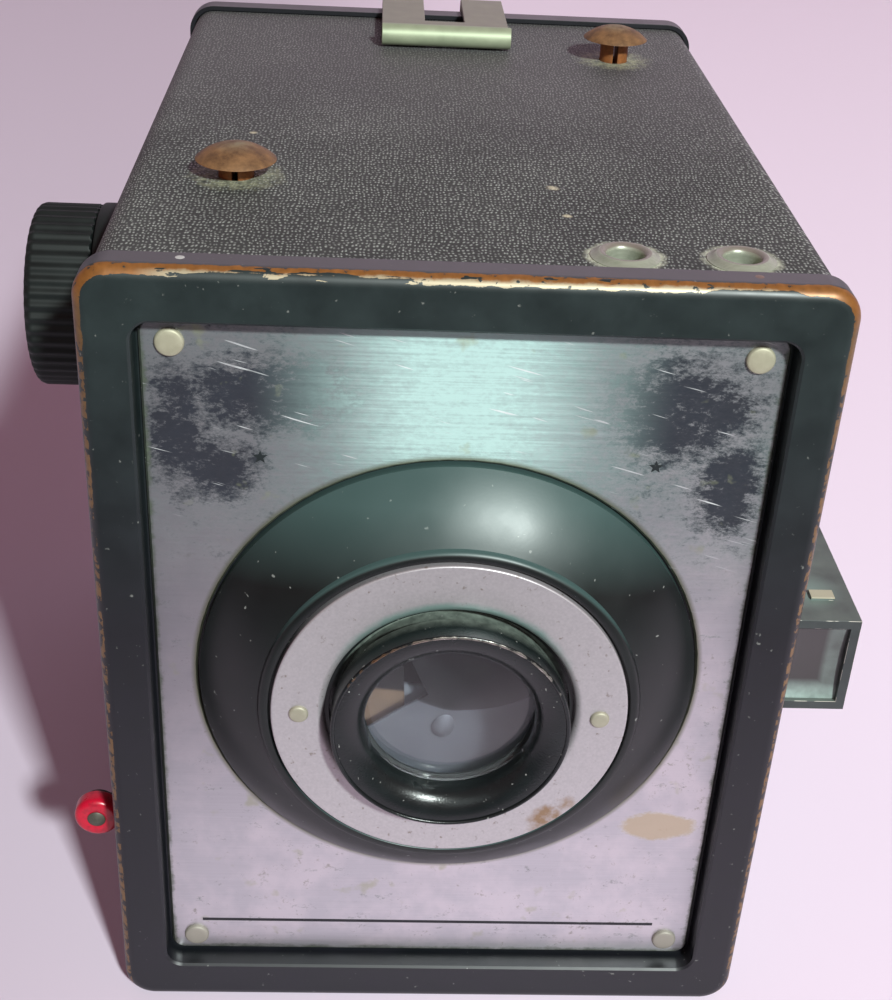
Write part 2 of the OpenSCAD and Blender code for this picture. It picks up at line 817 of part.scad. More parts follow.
// Flat bell crank: one arm out through the side to the button, one fork to the blade's pin
module release_lever() {
    placed() color("#35353a") slab(lever_y, lever_t) translate([-lever_x, lever_z]) difference() {
        union() {
            circle(lever_hub_r);
            rotate(180 - lever_swing / 2) translate([0, -lever_arm_w / 2])
                square([norm([button_x - lever_x, button_throw]), lever_arm_w]);
            translate([lever_x - button_x, button_throw]) circle(lever_arm_w / 2 + loose);
            rotate(drive_angle - lever_swing / 2) translate([0, -fork_w / 2]) square([fork_reach, fork_w]);
        }
        circle(lever_pivot_r + running);
        translate([lever_x - button_x, button_throw]) circle(screw_r + running);
        rotate(drive_angle - lever_swing / 2)
            translate([drive_span - drive_r - fork_depth, -drive_pin_r - loose])
                square([fork_reach, 2 * (drive_pin_r + loose)]);
    }
}

// Red button in front of the lever's outer end
button_round = 0.7;
module lever_button() {
    bore = screw_r + running;
    placed() color("#b3202a") translate([-button_x, lever_y, button_z]) rotate([90, 0, 0])
        rotate_extrude() difference() {
            union() {
                translate([bore, 0]) square([button_r - button_round - bore, button_t]);
                square([button_r, button_t - button_round]);
                translate([button_r - button_round, button_t - button_round]) circle(button_round);
            }
            translate([-cut, -cut]) square([cut + bore, button_t + 2 * cut]);
        }
}

// Tubular rivet that holds the button on the lever
button_rivet_r = 1.2;
button_rivet_h = 0.4;
module lever_rivet() {
    placed() color("#4a4340") translate([-button_x, 0, button_z]) {
        rivet(button_rivet_r, button_rivet_h, screw_r, button_y, lever_y + lever_t);
    }
}

// Brass strip beside the stop, which the open blade touches, on its insulating block
contact_x = 4.4;
contact_reach = 12;
contact_h = 7.5;
contact_low = blade_z - 2;
contact_t = 0.3;
insulator_t = 0.5;
insulator_w = 4;
module flash_contact() {
    strip_y = board_y - insulator_t - contact_t;
    placed() color("#a9865a") block([-contact_x - contact_reach, strip_y, contact_low],
        [-contact_x, strip_y + contact_t, contact_low + contact_h]);
}

module contact_insulator() {
    placed() color("#5a3d2c") block([-contact_x - contact_reach, board_y - insulator_t, contact_low],
        [-contact_x - contact_reach + insulator_w, board_y, contact_low + contact_h]);
}

// Bent frame of the film carrier: a front wall with two side plates
module film_carrier() {
    plate_in = carrier_x - carrier_sheet;
    placed() color("#2f2f31") difference() {
        union() {
            block([-carrier_x, carrier_front, front_low], [carrier_x, cone_front, front_high]);
            for (side = [-1, 1])
                block([side < 0 ? -carrier_x : plate_in, carrier_front, carrier_low],
                    [side < 0 ? -plate_in : carrier_x, gate_back, carrier_high]);
        }
        bar_y(0, lens_z, cone_mouth / 2, carrier_front - cut, cone_front + cut);
        bar_x(spool_y, spool_top_z, key_w / 2 + 2 * loose, -carrier_x - cut, -plate_in + cut);
        bar_x(spool_y, spool_top_z, pin_r + running, plate_in - cut, carrier_x + cut);
        bar_x(spool_y, spool_low_z, pin_r + running, -carrier_x - cut, carrier_x + cut);
        for (z = [mid_z - roller_off, mid_z + roller_off])
            bar_x(roller_y, z, roller_pin_r + running, -carrier_x - cut, carrier_x + cut);
    }
}

// A four-sided taper along Y
module frustum(w0, h0, y0, w1, h1, y1) {
    points = [for (e = [[w0, h0, y0], [w1, h1, y1]], c = [[-1, -1], [1, -1], [1, 1], [-1, 1]])
        [c[0] * e[0] / 2, e[2], mid_z + c[1] * e[1] / 2]];
    polyhedron(points, [[3, 2, 1, 0], [4, 5, 6, 7], [1, 5, 4, 0], [2, 6, 5, 1], [3, 7, 6, 2], [0, 4, 7, 3]]);
}

// Sheet pyramid from the lens to the film gate, with the gate's flange
module light_cone() {
    rim = 2 * carrier_sheet;
    mouth = cone_mouth + rim;
    placed() color("#262628") difference() {
        union() {
            frustum(mouth + rim, mouth + rim, cone_front, gate_w + rim, gate_h + rim, gate_y);
            block([carrier_sheet - carrier_x, gate_y, mid_z - gate_h / 2 - gate_flange],
                [carrier_x - carrier_sheet, gate_back, mid_z + gate_h / 2 + gate_flange]);
        }
        frustum(mouth, mouth, cone_front, gate_w, gate_h, gate_y);
        block([-gate_w / 2, gate_y, mid_z - gate_h / 2], [gate_w / 2, gate_back + cut, mid_z + gate_h / 2]);
    }
}

// Film rollers at the gate's ends, on fixed pins
module film_roller(z) {
    placed() color("#b0b0b4") difference() {
        bar_x(roller_y, z, roller_r, -roller_len / 2, roller_len / 2);
        bar_x(roller_y, z, roller_pin_r + running, -roller_len / 2 - cut, roller_len / 2 + cut);
    }
}

module upper_roller() {
    film_roller(mid_z + roller_off);
}

module lower_roller() {
    film_roller(mid_z - roller_off);
}

module roller_pins() {
    placed() color("#8f8f93") for (z = [mid_z - roller_off, mid_z + roller_off])
        bar_x(roller_y, z, roller_pin_r, -carrier_x - clinch_t, carrier_x + clinch_t);
}

// Collar on the body's side: a bush for the shaft and a hollow hub through the wall
module winder_collar() {
    placed() color("#15181a") difference() {
        union() {
            bar_x(spool_y, spool_top_z, collar_r, -collar_face, -cover_x);
            bar_x(spool_y, spool_top_z, collar_hub_r, -cover_x, -inner_x);
        }
        bar_x(spool_y, spool_top_z, shaft_r + running, -collar_face - cut, -inner_x + cut);
        bar_x(spool_y, spool_top_z, hub_r + running, -collar_face + bush_len, -inner_x + cut);
    }
}

// Fluted knob with a rounded outer edge
knob_round = 0.9;
knob_cap_t = 1.5;
knob_cap_r = knob_r - 2 * flute_depth;
module winding_knob() {
    step = 360 / knob_flutes;
    star = [for (i = [0 : knob_flutes - 1], half = [0, 1])
        let (a = (i + half / 2) * step)
        (knob_r - half * flute_depth) * [cos(a), sin(a)]];
    placed() color("#16191b") translate([-knob_inner, spool_y, spool_top_z]) rotate([0, -90, 0])
        difference() {
            union() {
                linear_extrude(knob_len - knob_round) polygon(star);
                rotate_extrude() {
                    square([knob_cap_r - knob_round, knob_len]);
                    square([knob_cap_r, knob_len - knob_round]);
                    translate([knob_cap_r - knob_round, knob_len - knob_round]) circle(knob_round);
                }
            }
            translate([0, 0, -cut]) cylinder(r = shaft_r, h = knob_len - knob_cap_t + cut);
        }
}

// Shaft pressed into the knob, flattened into a key that turns the spool
module winder_shaft() {
    placed() color("#a6a6aa") {
        bar_x(spool_y, spool_top_z, shaft_r, -knob_outer + knob_cap_t + knob_gap, -key_root);
        block([-key_root, spool_y - key_t / 2, spool_top_z - key_w / 2],
            [-key_tip, spool_y + key_t / 2, spool_top_z + key_w / 2]);
    }
}

// Toothed wheel that turns with the key and lets it slide; its teeth lean one way
tooth_rake = 0.2;
module ratchet_wheel() {
    step = 360 / wheel_teeth;
    hub_len = wheel_hub_x - wheel_x;
    teeth = [for (i = [0 : wheel_teeth - 1], half = [0, 1])
        let (a = (i + half * tooth_rake) * step)
        (wheel_r - half * tooth_depth) * [cos(a), sin(a)]];
    placed() color("#9c8a5c") translate([-wheel_x, spool_y, spool_top_z]) rotate([90, 0, 90]) difference() {
        union() {
            linear_extrude(wheel_t) polygon(teeth);
            translate([0, 0, -hub_len]) cylinder(r = hub_r, h = hub_len + wheel_t);
        }
        translate([0, 0, -hub_len - cut]) linear_extrude(hub_len + wheel_t + 2 * cut) {
            circle(shaft_r + 2 * running);
            square([key_t + 2 * key_gap, key_w + 2 * key_gap], center = true);
        }
    }
}

// Leaf spring that clicks on the wheel's teeth, folded from a foot on the shell's wall
pawl_angle = 40;
pawl_len = 11;
pawl_foot = 3;
module pawl_spring() {
    tip = (wheel_r + loose) * [cos(pawl_angle), sin(pawl_angle)];
    inside = -wheel_x + wheel_t;
    placed() color("#9b9ba0") translate([0, spool_y + tip[0], spool_top_z + tip[1]]) {
        block([-wheel_x, 0, 0], [inside, pawl_len, leaf_t]);
        block([-inner_x, pawl_len - pawl_foot, 0], [inside, pawl_len, leaf_t]);
        block([-inner_x, pawl_len - pawl_foot, -pawl_foot], [-inner_x + leaf_t, pawl_len, leaf_t]);
    }
}

// Empty sheet-metal spool that takes up the film
module take_up_spool() {
    end = spool_len / 2;
    placed() color("#4b4640") difference() {
        union() {
            bar_x(spool_y, spool_top_z, core_r, -end, end);
            for (x = [-end, end - flange_t]) bar_x(spool_y, spool_top_z, flange_r, x, x + flange_t);
        }
        bar_x(spool_y, spool_top_z, pin_r + running, pin_tip - pin_end_gap, end + cut);
        block([-end - cut, spool_y - key_t / 2 - key_gap, spool_top_z - key_w / 2 - key_gap],
            [-key_tip + 2 * key_gap, spool_y + key_t / 2 + key_gap, spool_top_z + key_w / 2 + key_gap]);
    }
}

// Places its children, drawn for the right side, at the three plain spool ends
module at_spool_pins() {
    translate([0, spool_y, spool_top_z]) children();
    translate([0, spool_y, spool_low_z]) children();
    translate([0, spool_y, spool_low_z]) mirror([1, 0, 0]) children();
}

module spool_pins() {
    placed() color("#a2a2a6") at_spool_pins() {
        bar_x(0, 0, pin_r, pin_tip, carrier_x + pin_lift);
        bar_x(0, 0, pin_head_r, carrier_x + pin_lift, carrier_x + pin_lift + pin_head_t);
    }
}

// Leaf springs that press the pins inwards
pin_leaf_w = 5;
pin_leaf_len = 15;
pin_leaf_foot = 3;
module pin_springs() {
    leaf_x = carrier_x + pin_lift + pin_head_t;
    half = pin_leaf_w / 2;
    placed() color("#98989d") at_spool_pins() {
        block([leaf_x, -pin_head_r, -half], [leaf_x + leaf_t, pin_leaf_len, half]);
        block([carrier_x, pin_leaf_len - pin_leaf_foot, -half], [leaf_x + leaf_t, pin_leaf_len, half]);
    }
}

// Mushroom-headed studs for a carrying strap, with split stems
stud_head_h = 1.9;
stud_clinch = 0.9;
stud_slit = 0.7;
module strap_stud(x, y, lift) {
    difference() {
        union() {
            bar_z(x, y, stud_stem_r, inner_top - stud_clinch, cover_top + lift);
            bar_z(x, y, stud_stem_r + stud_clinch, inner_top - stud_clinch, inner_top);
            translate([x, y, cover_top + lift]) dome(stud_head_r, stud_head_h);
        }
        block([x - stud_slit / 2, y - stud_stem_r - cut, inner_top - cut],
            [x + stud_slit / 2, y + stud_stem_r + cut, cover_top + lift]);
    }
}

module strap_studs() {
    placed() color("#6e4a30") {
        strap_stud(-stud_x, stud_left_y, stud_left_lift);
        strap_stud(stud_right_x, stud_right_y, stud_right_lift);
    }
}

// Rolled eyelets that a flash unit plugs into, in insulating sleeves
socket_wall = 0.4;
sleeve_wall = 0.8;
socket_sleeve_r = socket_r + socket_wall + sleeve_wall;
socket_rim = 0.6;
socket_flange_r = socket_sleeve_r + socket_rim;
socket_roll = 0.65;
socket_len = 5;
washer_t = 0.9;
module at_sockets() {
    for (x = [-1, 1]) translate([socket_x + x * socket_pitch / 2, socket_y, cover_top]) children();
}

module flash_sockets() {
    outer = socket_r + socket_wall;
    placed() color("#a9aaa0") at_sockets() rotate_extrude() polygon([
        [socket_r, -socket_len], [outer, -socket_len], [outer, 0], [socket_flange_r, 0],
        [socket_flange_r, socket_roll / 3], [socket_flange_r - socket_roll, socket_roll],
        [outer + socket_wall / 2, socket_roll], [socket_r, socket_roll / 6]]);
}

module socket_insulators() {
    outer = socket_r + socket_wall + running;
    washer = inner_top - cover_top;
    placed() color("#3b2a22") at_sockets() rotate_extrude() polygon([
        [outer, 0], [socket_sleeve_r, 0], [socket_sleeve_r, washer], [socket_sleeve_r + washer_t, washer],
        [socket_sleeve_r + washer_t, washer - washer_t], [outer, washer - washer_t]]);
}

// Direct-vision finder: a sheet box on the body's side with a glass at each end
finder_frame = 0.5;
finder_back = finder_y + finder_len;
finder_screw_inset = 11;
finder_screw_ys = [finder_y + finder_screw_inset, finder_back - finder_screw_inset];
glass_t = 1.6;
glass_fit = 0.1;
glass_curve = 38;
glass_dish = 0.6;
tab_inset = 4.5;
tab_w = 3;
tab_len = 1.8;
tab_h = 0.4;
module finder_section(inset) {
    translate([cover_x + inset, finder_z - finder_h / 2 + inset])
        square([finder_w - 2 * inset, finder_h - 2 * inset]);
}

module finder_housing() {
    tab_y = finder_y + tab_inset;
    tab_x = cover_x + finder_w / 2;
    roof = finder_z + finder_h / 2;
    placed() color("#24272a") difference() {
        union() {
            slab(finder_y, finder_len) finder_section(0);
            block([tab_x, tab_y, roof - finder_sheet], [tab_x + tab_w, tab_y + tab_len, roof + tab_h]);
        }
        slab(finder_y + finder_sheet, finder_len - 2 * finder_sheet) finder_section(finder_sheet);
        slab(finder_y - cut, finder_len + 2 * cut) finder_section(finder_sheet + finder_frame);
        for (y = finder_screw_ys) bar_x(y, finder_z, screw_r + running, cover_x - cut, cover_x + 2 * cut);
    }
}

module finder_front_glass() {
    glass_y = finder_y + finder_sheet;
    placed() color("#c4d0d2", 0.4) difference() {
        slab(glass_y, glass_t) finder_section(finder_sheet + glass_fit);
        translate([cover_x + finder_w / 2, glass_y + glass_dish - glass_curve, finder_z])
            sphere(glass_curve, $fn = 256);
    }
}

module finder_eye_glass() {
    placed() color("#c4d0d2", 0.4) slab(finder_back - finder_sheet - glass_t, glass_t)
        finder_section(finder_sheet + glass_fit);
}

// Screws from inside the shell into the finder
module finder_screws() {
    placed() color("#a9a9ab") for (y = finder_screw_ys) {
        bar_x(y, finder_z, screw_r, inner_x - running, cover_x + 2 * finder_sheet);
        bar_x(y, finder_z, screw_head_r, inner_x - screw_head_t, inner_x);
    }
}

// The hinge's knuckles along X: the body has the even ones, the door the odd ones
module hinge_knuckles(first) {
    for (k = [first : 2 : knuckles - 1])
        translate([-hinge_len / 2 + k * knuckle_w + knuckle_gap / 2, 0, 0]) children();
}

module knuckle_bore() {
    bar_x(hinge_y, hinge_z, hinge_pin_r + running, -hinge_len / 2 - cut, hinge_len / 2 + cut);
}

// Hinge leaf on the shell's floor
hinge_leaf_len = 8;
module body_hinge_leaf() {
    width = knuckle_w - knuckle_gap;
    placed() color("#7f7f84") difference() {
        union() {
            block([-hinge_len / 2, shell_back - hinge_leaf_len, inner_bottom],
                [hinge_len / 2, shell_back, inner_bottom + hinge_leaf_t]);
            hinge_knuckles(0) {
                bar_x(hinge_y, hinge_z, knuckle_r, 0, width);
                block([0, shell_back - cut, inner_bottom], [width, hinge_y, inner_bottom + hinge_leaf_t]);
            }
        }
        knuckle_bore();
    }
}

// Hinge leaf on the door's inner face
module door_hinge_leaf() {
    width = knuckle_w - knuckle_gap;
    leaf_low = hinge_z + knuckle_r + 2 * loose;
    placed() color("#7f7f84") difference() {
        union() {
            block([-hinge_len / 2, door_y - hinge_leaf_t, leaf_low],
                [hinge_len / 2, door_y, leaf_low + hinge_leaf_len]);
            hinge_knuckles(1) {
                bar_x(hinge_y, hinge_z, knuckle_r, 0, width);
                block([0, door_y - hinge_leaf_t, hinge_z], [width, door_y, leaf_low + cut]);
            }
        }
        knuckle_bore();
    }
}

module hinge_pin() {
    placed() color("#a2a2a6") bar_x(hinge_y, hinge_z, hinge_pin_r, -hinge_len / 2, hinge_len / 2);
}

// Pressed door with a lip over the body's top and sides
module back_door() {
    placed() color("#1d2224") difference() {
        union() {
            translate([0, door_back, mid_z]) rotate([-90, 0, 0])
                round_frame(panel_w, panel_h, panel_r)
                    lip_section(panel_r, door_edge, door_back - door_lip_y);
            slab(door_y, panel_sheet)
                rounded_rect(panel_w - 2 * door_edge, panel_h - 2 * door_edge, panel_r - door_edge);
        }
        block([-panel_w, door_lip_y - cut, -cut], [panel_w, door_y - foot_step, lip_foot]);
        bar_y(0, window_z, window_hole_r, door_y - cut, door_back + cut);
    }
}

// Leatherette on the door's outer face, with a hole for the window ring
back_border = 7;
back_top_border = 2 * back_border;
module back_covering() {
    placed() color("#2c2a2e") difference() {
        slab(door_back, cover_t) intersection() {
            rounded_rect(panel_w - 2 * back_border, panel_h - 2 * back_border, cover_r);
            translate([-panel_w, 0]) square([2 * panel_w, panel_h - back_top_border]);
        }
        bar_y(0, window_z, window_r + window_ring_w + loose, door_back - cut, door_back + 2 * cut);
    }
}

// Felt round three sides of the door that closes on the shell's edge
seal_w = 2.4;
seal_edge = max(door_edge, panel_w / 2 - shell_x);
module light_seal() {
    placed() color("#1a1a1b") difference() {
        slab(shell_back + loose, door_y - shell_back - loose) difference() {
            rounded_rect(panel_w - 2 * seal_edge, panel_h - 2 * seal_edge, shell_r);
            rounded_rect(panel_w - 2 * seal_edge - 2 * seal_w, panel_h - 2 * seal_edge - 2 * seal_w, cover_r);
        }
        block([-panel_w, shell_back, -cut], [panel_w, door_back, lip_foot + 2 * loose]);
    }
}

// Plate that keeps the film flat on the gate, with a hole in front of the window
module pressure_plate() {
    placed() color("#232325") difference() {
        slab(pad_y, pad_t) rounded_rect(gate_w, gate_h, recess_r);
        bar_y(0, window_z, window_r, pad_y - cut, pad_y + pad_t + cut);
    }
}

// Bowed leaf springs between the plate and the door
bow_x = 20;
bow_w = 8;
bow_t = 0.4;
module pressure_springs() {
    placed() color("#9b9ba0") for (x = [-bow_x, bow_x])
        across(x - bow_w / 2, x + bow_w / 2) intersection() {
            translate([pad_y + pad_t + bow_r, mid_z]) difference() {
                circle(bow_r, $fn = 128);
                circle(bow_r - bow_t, $fn = 128);
            }
            translate([pad_y, mid_z - 2 * bow_half]) square([door_y - pad_y, 4 * bow_half]);
        }
}

// Red window behind its ring
module red_window() {
    placed() color("#8c1418", 0.7)
        bar_y(0, window_z, window_r + window_ring_w, door_y - window_ring_t, door_y);
}

module window_ring() {
    placed() color("#8e8a80") difference() {
        union() {
            bar_y(0, window_z, window_r + window_wall, door_y, door_back);
            bar_y(0, window_z, window_r + window_ring_w, door_back, door_back + window_ring_t);
        }
        bar_y(0, window_z, window_r, door_y - cut, door_back + 2 * cut);
    }
}

// Bracket on the door with the latch's middle knuckle
bracket_w = 14;
bracket_len = 9;
module latch_bracket() {
    half = latch_slot / 2 - knuckle_gap;
    low = latch_pin_z - bracket_len;
    shoulder = latch_pin_z - 3 * latch_knuckle_r;
    placed() color("#8f8f8c") difference() {
        union() {
            block([-half, door_back, low], [half, door_back + hinge_leaf_t, latch_pin_z]);
            block([-bracket_w / 2, door_back, low], [bracket_w / 2, door_back + hinge_leaf_t, shoulder]);
            bar_x(latch_pin_y, latch_pin_z, latch_knuckle_r, -half, half);
        }
        bar_x(latch_pin_y, latch_pin_z, latch_pin_r + running, -half - cut, half + cut);
    }
}

// Nickelled latch: a rolled nose over the body and two arms that bend down to the pin
module latch_sheet(y0) {
    bend_y = latch_rear - latch_bend;
    bend_z = latch_top - latch_bend;
    translate([y0, latch_top - latch_t]) square([bend_y - y0, latch_t]);
    translate([bend_y, bend_z]) intersection() {
        difference() {
            circle(latch_bend);
            circle(latch_bend - latch_t);
        }
        square(latch_bend);
    }
    translate([latch_rear - latch_t, latch_pin_z]) square([latch_t, bend_z - latch_pin_z]);
    translate([latch_pin_y, latch_pin_z]) circle(latch_knuckle_r);
}

module latch() {
    placed() color("#a8aa9e") difference() {
        union() {
            across(-latch_w / 2, latch_w / 2) {
                translate([roll_y, latch_top - latch_t]) square([slot_y - roll_y, latch_t]);
                translate([roll_y, roll_z]) circle(latch_roll);
            }
            across(-latch_w / 2, -latch_slot / 2) latch_sheet(slot_y - latch_t);
            across(latch_slot / 2, latch_w / 2) latch_sheet(slot_y - latch_t);
        }
        bar_x(latch_pin_y, latch_pin_z, latch_pin_r + running, -latch_w / 2 - cut, latch_w / 2 + cut);
        bar_x(roll_y, roll_z, latch_roll - latch_t, -latch_w / 2 - cut, latch_w / 2 + cut);
    }
}

module latch_pin() {
    placed() color("#a2a2a6") bar_x(latch_pin_y, latch_pin_z, latch_pin_r, -latch_w / 2, latch_w / 2);
}

body_top();
body_sides();
body_floor();
body_covering();
front_panel();
panel_nails();
faceplate();
faceplate_rivets();
lens_surround();
trim_ring();
trim_ring_rivets();
lens_hood();
taking_lens();
lens_retainer();
shutter_board();
shutter_posts();
shutter_screws();
blade_pivot();
shutter_blade();
drive_pin();
lever_pivot();
lever_spring();
release_lever();
lever_button();
lever_rivet();
flash_contact();
contact_insulator();
film_carrier();
light_cone();
roller_pins();
upper_roller();
lower_roller();
winder_collar();
winding_knob();
winder_shaft();
ratchet_wheel();
pawl_spring();
take_up_spool();
spool_pins();
pin_springs();
strap_studs();
flash_sockets();
socket_insulators();
finder_housing();
finder_front_glass();
finder_eye_glass();
finder_screws();
body_hinge_leaf();
hinge_pin();
back_door();
door_hinge_leaf();
back_covering();
light_seal();
pressure_plate();
pressure_springs();
red_window();
window_ring();
latch_bracket();
latch();
latch_pin();
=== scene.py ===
"""Looks of a box camera for roll film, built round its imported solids."""

import json
import math
from functools import partial

import bmesh
import bpy
from mathutils import Matrix, Vector


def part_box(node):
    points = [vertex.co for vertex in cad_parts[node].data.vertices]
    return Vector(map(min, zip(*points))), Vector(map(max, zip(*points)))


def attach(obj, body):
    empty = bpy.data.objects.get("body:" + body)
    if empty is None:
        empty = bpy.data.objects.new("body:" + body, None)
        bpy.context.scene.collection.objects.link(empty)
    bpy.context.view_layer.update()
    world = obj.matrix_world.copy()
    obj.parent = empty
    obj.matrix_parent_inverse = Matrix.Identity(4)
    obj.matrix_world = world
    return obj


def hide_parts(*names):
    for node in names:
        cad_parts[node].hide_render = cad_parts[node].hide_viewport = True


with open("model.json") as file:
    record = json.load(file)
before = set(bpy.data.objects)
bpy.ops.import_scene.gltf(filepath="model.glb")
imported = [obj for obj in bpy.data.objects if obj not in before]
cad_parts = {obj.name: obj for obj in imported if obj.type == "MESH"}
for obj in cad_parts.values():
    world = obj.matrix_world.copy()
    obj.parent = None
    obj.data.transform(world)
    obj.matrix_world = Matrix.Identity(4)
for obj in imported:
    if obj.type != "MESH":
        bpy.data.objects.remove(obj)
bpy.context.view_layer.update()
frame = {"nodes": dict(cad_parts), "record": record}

# Camera: a hand-held view from above the front, close enough that the box tapers to the back.
# Its place and turn were fitted to the panel's corners, the rivets and the lens circles.
MM = 0.001
camera_eye = (-10.23, -200.93, 165.90)
camera_turn = (59.32, -2.77, -1.75)
focal_length = 55.58
film_height = 36
nearest = 10

lens_data = bpy.data.cameras.new("camera")
lens_data.sensor_fit = "VERTICAL"
lens_data.sensor_height = film_height
lens_data.lens = focal_length
lens_data.clip_start = nearest * MM
camera = bpy.data.objects.new("camera", lens_data)
camera.location = Vector(camera_eye) * MM
camera.rotation_euler = [math.radians(a) for a in camera_turn]
bpy.context.scene.collection.objects.link(camera)
bpy.context.scene.camera = camera
bpy.context.scene.view_settings.view_transform = "Standard"


# Floor and light: a plain pale lilac cloth, a soft lamp to the right above the camera, a faint one
# in front and a dim warm surround. The floor's colour is painted darker to the left, a painted
# shade for the lamp's fall-off, and dark grey in front, a painted shade that the faceplate mirrors.
def linear(colour):
    """The linear values of an sRGB colour written as hex."""
    parts = [int(colour[i : i + 2], 16) / 255 for i in (1, 3, 5)]
    return [p / 12.92 if p <= 0.04045 else ((p + 0.055) / 1.055) ** 2.4 for p in parts] + [1]


def add_node(tree, kind, inputs=(), out=None, **settings):
    """Adds a shader node, sets or links its inputs, and returns one output. Inputs go by name or in
    the node's own order. A colour is written as hex, and From and To take both ends of a range."""
    made = tree.nodes.new("ShaderNode" + kind)
    if kind == "Mix":
        made.data_type = "RGBA"
    for key, value in settings.items():
        setattr(made, key, value)
    sockets = [i for i in made.inputs if i.enabled]
    named = {i.name: i for i in reversed(sockets)}
    pairs = list(zip(sockets, inputs))
    if isinstance(inputs, dict):
        pairs = []
        for key, value in inputs.items():
            if key in ("From", "To"):
                pairs += zip((named[key + " Min"], named[key + " Max"]), value)
            else:
                pairs.append((named[key], value))
    for socket, value in pairs:
        if isinstance(value, bpy.types.NodeSocket):
            tree.links.new(value, socket)
        else:
            socket.default_value = linear(value) if isinstance(value, str) else value
    shown = [o for o in made.outputs if o.enabled]
    return made.outputs[out] if out else (shown[0] if shown else None)


def new_finish(name):
    """An empty material, the function that adds nodes to it, and its Object coordinates."""
    made = bpy.data.materials.new(name)
    made.use_nodes = True
    made.node_tree.nodes.clear()
    add = partial(add_node, made.node_tree)
    return made, add, add("TexCoord", out="Object")


floor_half = 3000
floor_lilac = "#f4e4f6"
floor_left_painted_shade = "#cfc2d2"
floor_front_painted_shade = "#3b393f"
room_tone = "#cb7c82"
room_strength = 0.3
backdrop_y = 1500

floor_finish, add, place = new_finish("plain_floor")
# A smooth matt cloth, without a weave that shows from here.
parts = add("SeparateXYZ", [place]).node.outputs
# Painted shade: the floor's colour darkens to the left and in front.
to_left = add(
    "MapRange",
    {"Value": parts["X"], "From": (-85 * MM, 35 * MM), "To": (1, 0)}, interpolation_type="SMOOTHSTEP")
to_front = add(
    "MapRange",
    {"Value": parts["Y"], "From": (-190 * MM, -110 * MM), "To": (1, 0)}, interpolation_type="SMOOTHSTEP")
tone = add("Mix", [to_left, floor_lilac, floor_left_painted_shade])
tone = add("Mix", [to_front, tone, floor_front_painted_shade])
shader = add("BsdfPrincipled", {"Base Color": tone, "Roughness": 0.9})
add("OutputMaterial", {"Surface": shader})
for name, turn, y in (("floor", 0, 0), ("backdrop", 90, backdrop_y)):
    bm = bmesh.new()
    bmesh.ops.create_grid(bm, x_segments=1, y_segments=1, size=floor_half * MM)
    bmesh.ops.rotate(bm, matrix=Matrix.Rotation(math.radians(turn), 3, "X"), verts=bm.verts)
    bmesh.ops.translate(bm, vec=(0, y * MM, 0), verts=bm.verts)
    mesh = bpy.data.meshes.new(name)
    bm.to_mesh(mesh)
    bm.free()
    mesh.materials.append(floor_finish)
    plane = bpy.data.objects.new(name, mesh)
    bpy.context.scene.collection.objects.link(plane)

world = bpy.data.worlds.new("room")
world.use_nodes = True
world.node_tree.nodes.clear()
add = partial(add_node, world.node_tree)
shader = add("Background", {"Color": room_tone, "Strength": room_strength})
add("OutputWorld", {"Surface": shader})
bpy.context.scene.world = world


def lamp(name, place, target, size, watts, colour):
    """A square soft lamp at a place in millimetres, turned to a target."""
    data = bpy.data.lights.new(name, "AREA")
    data.size = size * MM
    data.energy = watts
    data.color = linear(colour)[:3]
    made = bpy.data.objects.new(name, data)
    made.location = Vector(place) * MM
    away = Vector(place) - Vector(target)
    made.rotation_euler = away.to_track_quat("Z", "Y").to_euler()
    bpy.context.scene.collection.objects.link(made)


lit_point = (0, 0, 50)
lamp("key_lamp", (800, -1930, 1560), lit_point, size=190, watts=92, colour="#f4fffb")
lamp("front_lamp", (-120, -900, 420), lit_point, size=420, watts=0.6, colour="#e2f6f4")

# Body sleeve: sheet steel folded round into a box without ends, painted matt black inside.
# The front panel is nailed on its front end and the back door hangs on its rear end.
record = frame["record"]
body_of = {n: b for b, ns in record["behaviour"]["bodies"].items() for n in ns}
corner_angle = 38


def settle(bm, node, finish, name=None, smooth_below=corner_angle):
    """Makes a bmesh in millimetres the piece that stands for a CAD node, or lies on it by name."""
    bmesh.ops.scale(bm, vec=(MM, MM, MM), verts=bm.verts)
    title = name or "made_" + node
    mesh = bpy.data.meshes.new(title)
    bm.to_mesh(mesh)
    bm.free()
    mesh.shade_smooth()
    mesh.set_sharp_from_angle(angle=math.radians(smooth_below))
    mesh.materials.append(finish)
    made = bpy.data.objects.new(title, mesh)
    bpy.context.scene.collection.objects.link(made)
    flat = made.modifiers.new("flat faces", "WEIGHTED_NORMAL")
    flat.keep_sharp = True
    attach(made, body_of[node])
    if not name:
        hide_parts(node)


def rounded_copy(node, finish, edge, worn=0.0, steps=2):
    """A copy of a CAD node's mesh, merged, with its sharp edges rounded and marked as worn."""
    bm = bmesh.new()
    bm.from_mesh(frame["nodes"][node].data)
    bmesh.ops.scale(bm, vec=(1 / MM, 1 / MM, 1 / MM), verts=bm.verts)
    bmesh.ops.remove_doubles(bm, verts=bm.verts, dist=0.001)
    bmesh.ops.dissolve_limit(bm, angle_limit=math.radians(0.5), verts=bm.verts, edges=bm.edges)
    wear = bm.faces.layers.float.new("wear")
    sharp = [e for e in bm.edges if e.is_manifold and e.calc_face_angle() > math.radians(corner_angle)]
    made = bmesh.ops.bevel(
        bm, geom=sharp, offset=edge, offset_type="OFFSET", segments=steps, profile=0.5,
        affect="EDGES", clamp_overlap=True, material=-1)
    for face in made["faces"]:
        face[wear] = worn
    settle(bm, node, finish)


def mottled_finish(name, spot, detail, dark, light):
    """A finish in two colours that run into each other in spots of a size in millimetres."""
    made, add, place = new_finish(name)
    spots = add("TexNoise", [place, 1 / (spot * MM), detail])
    return made, add, place, spots, add("Mix", [spots, dark, light])


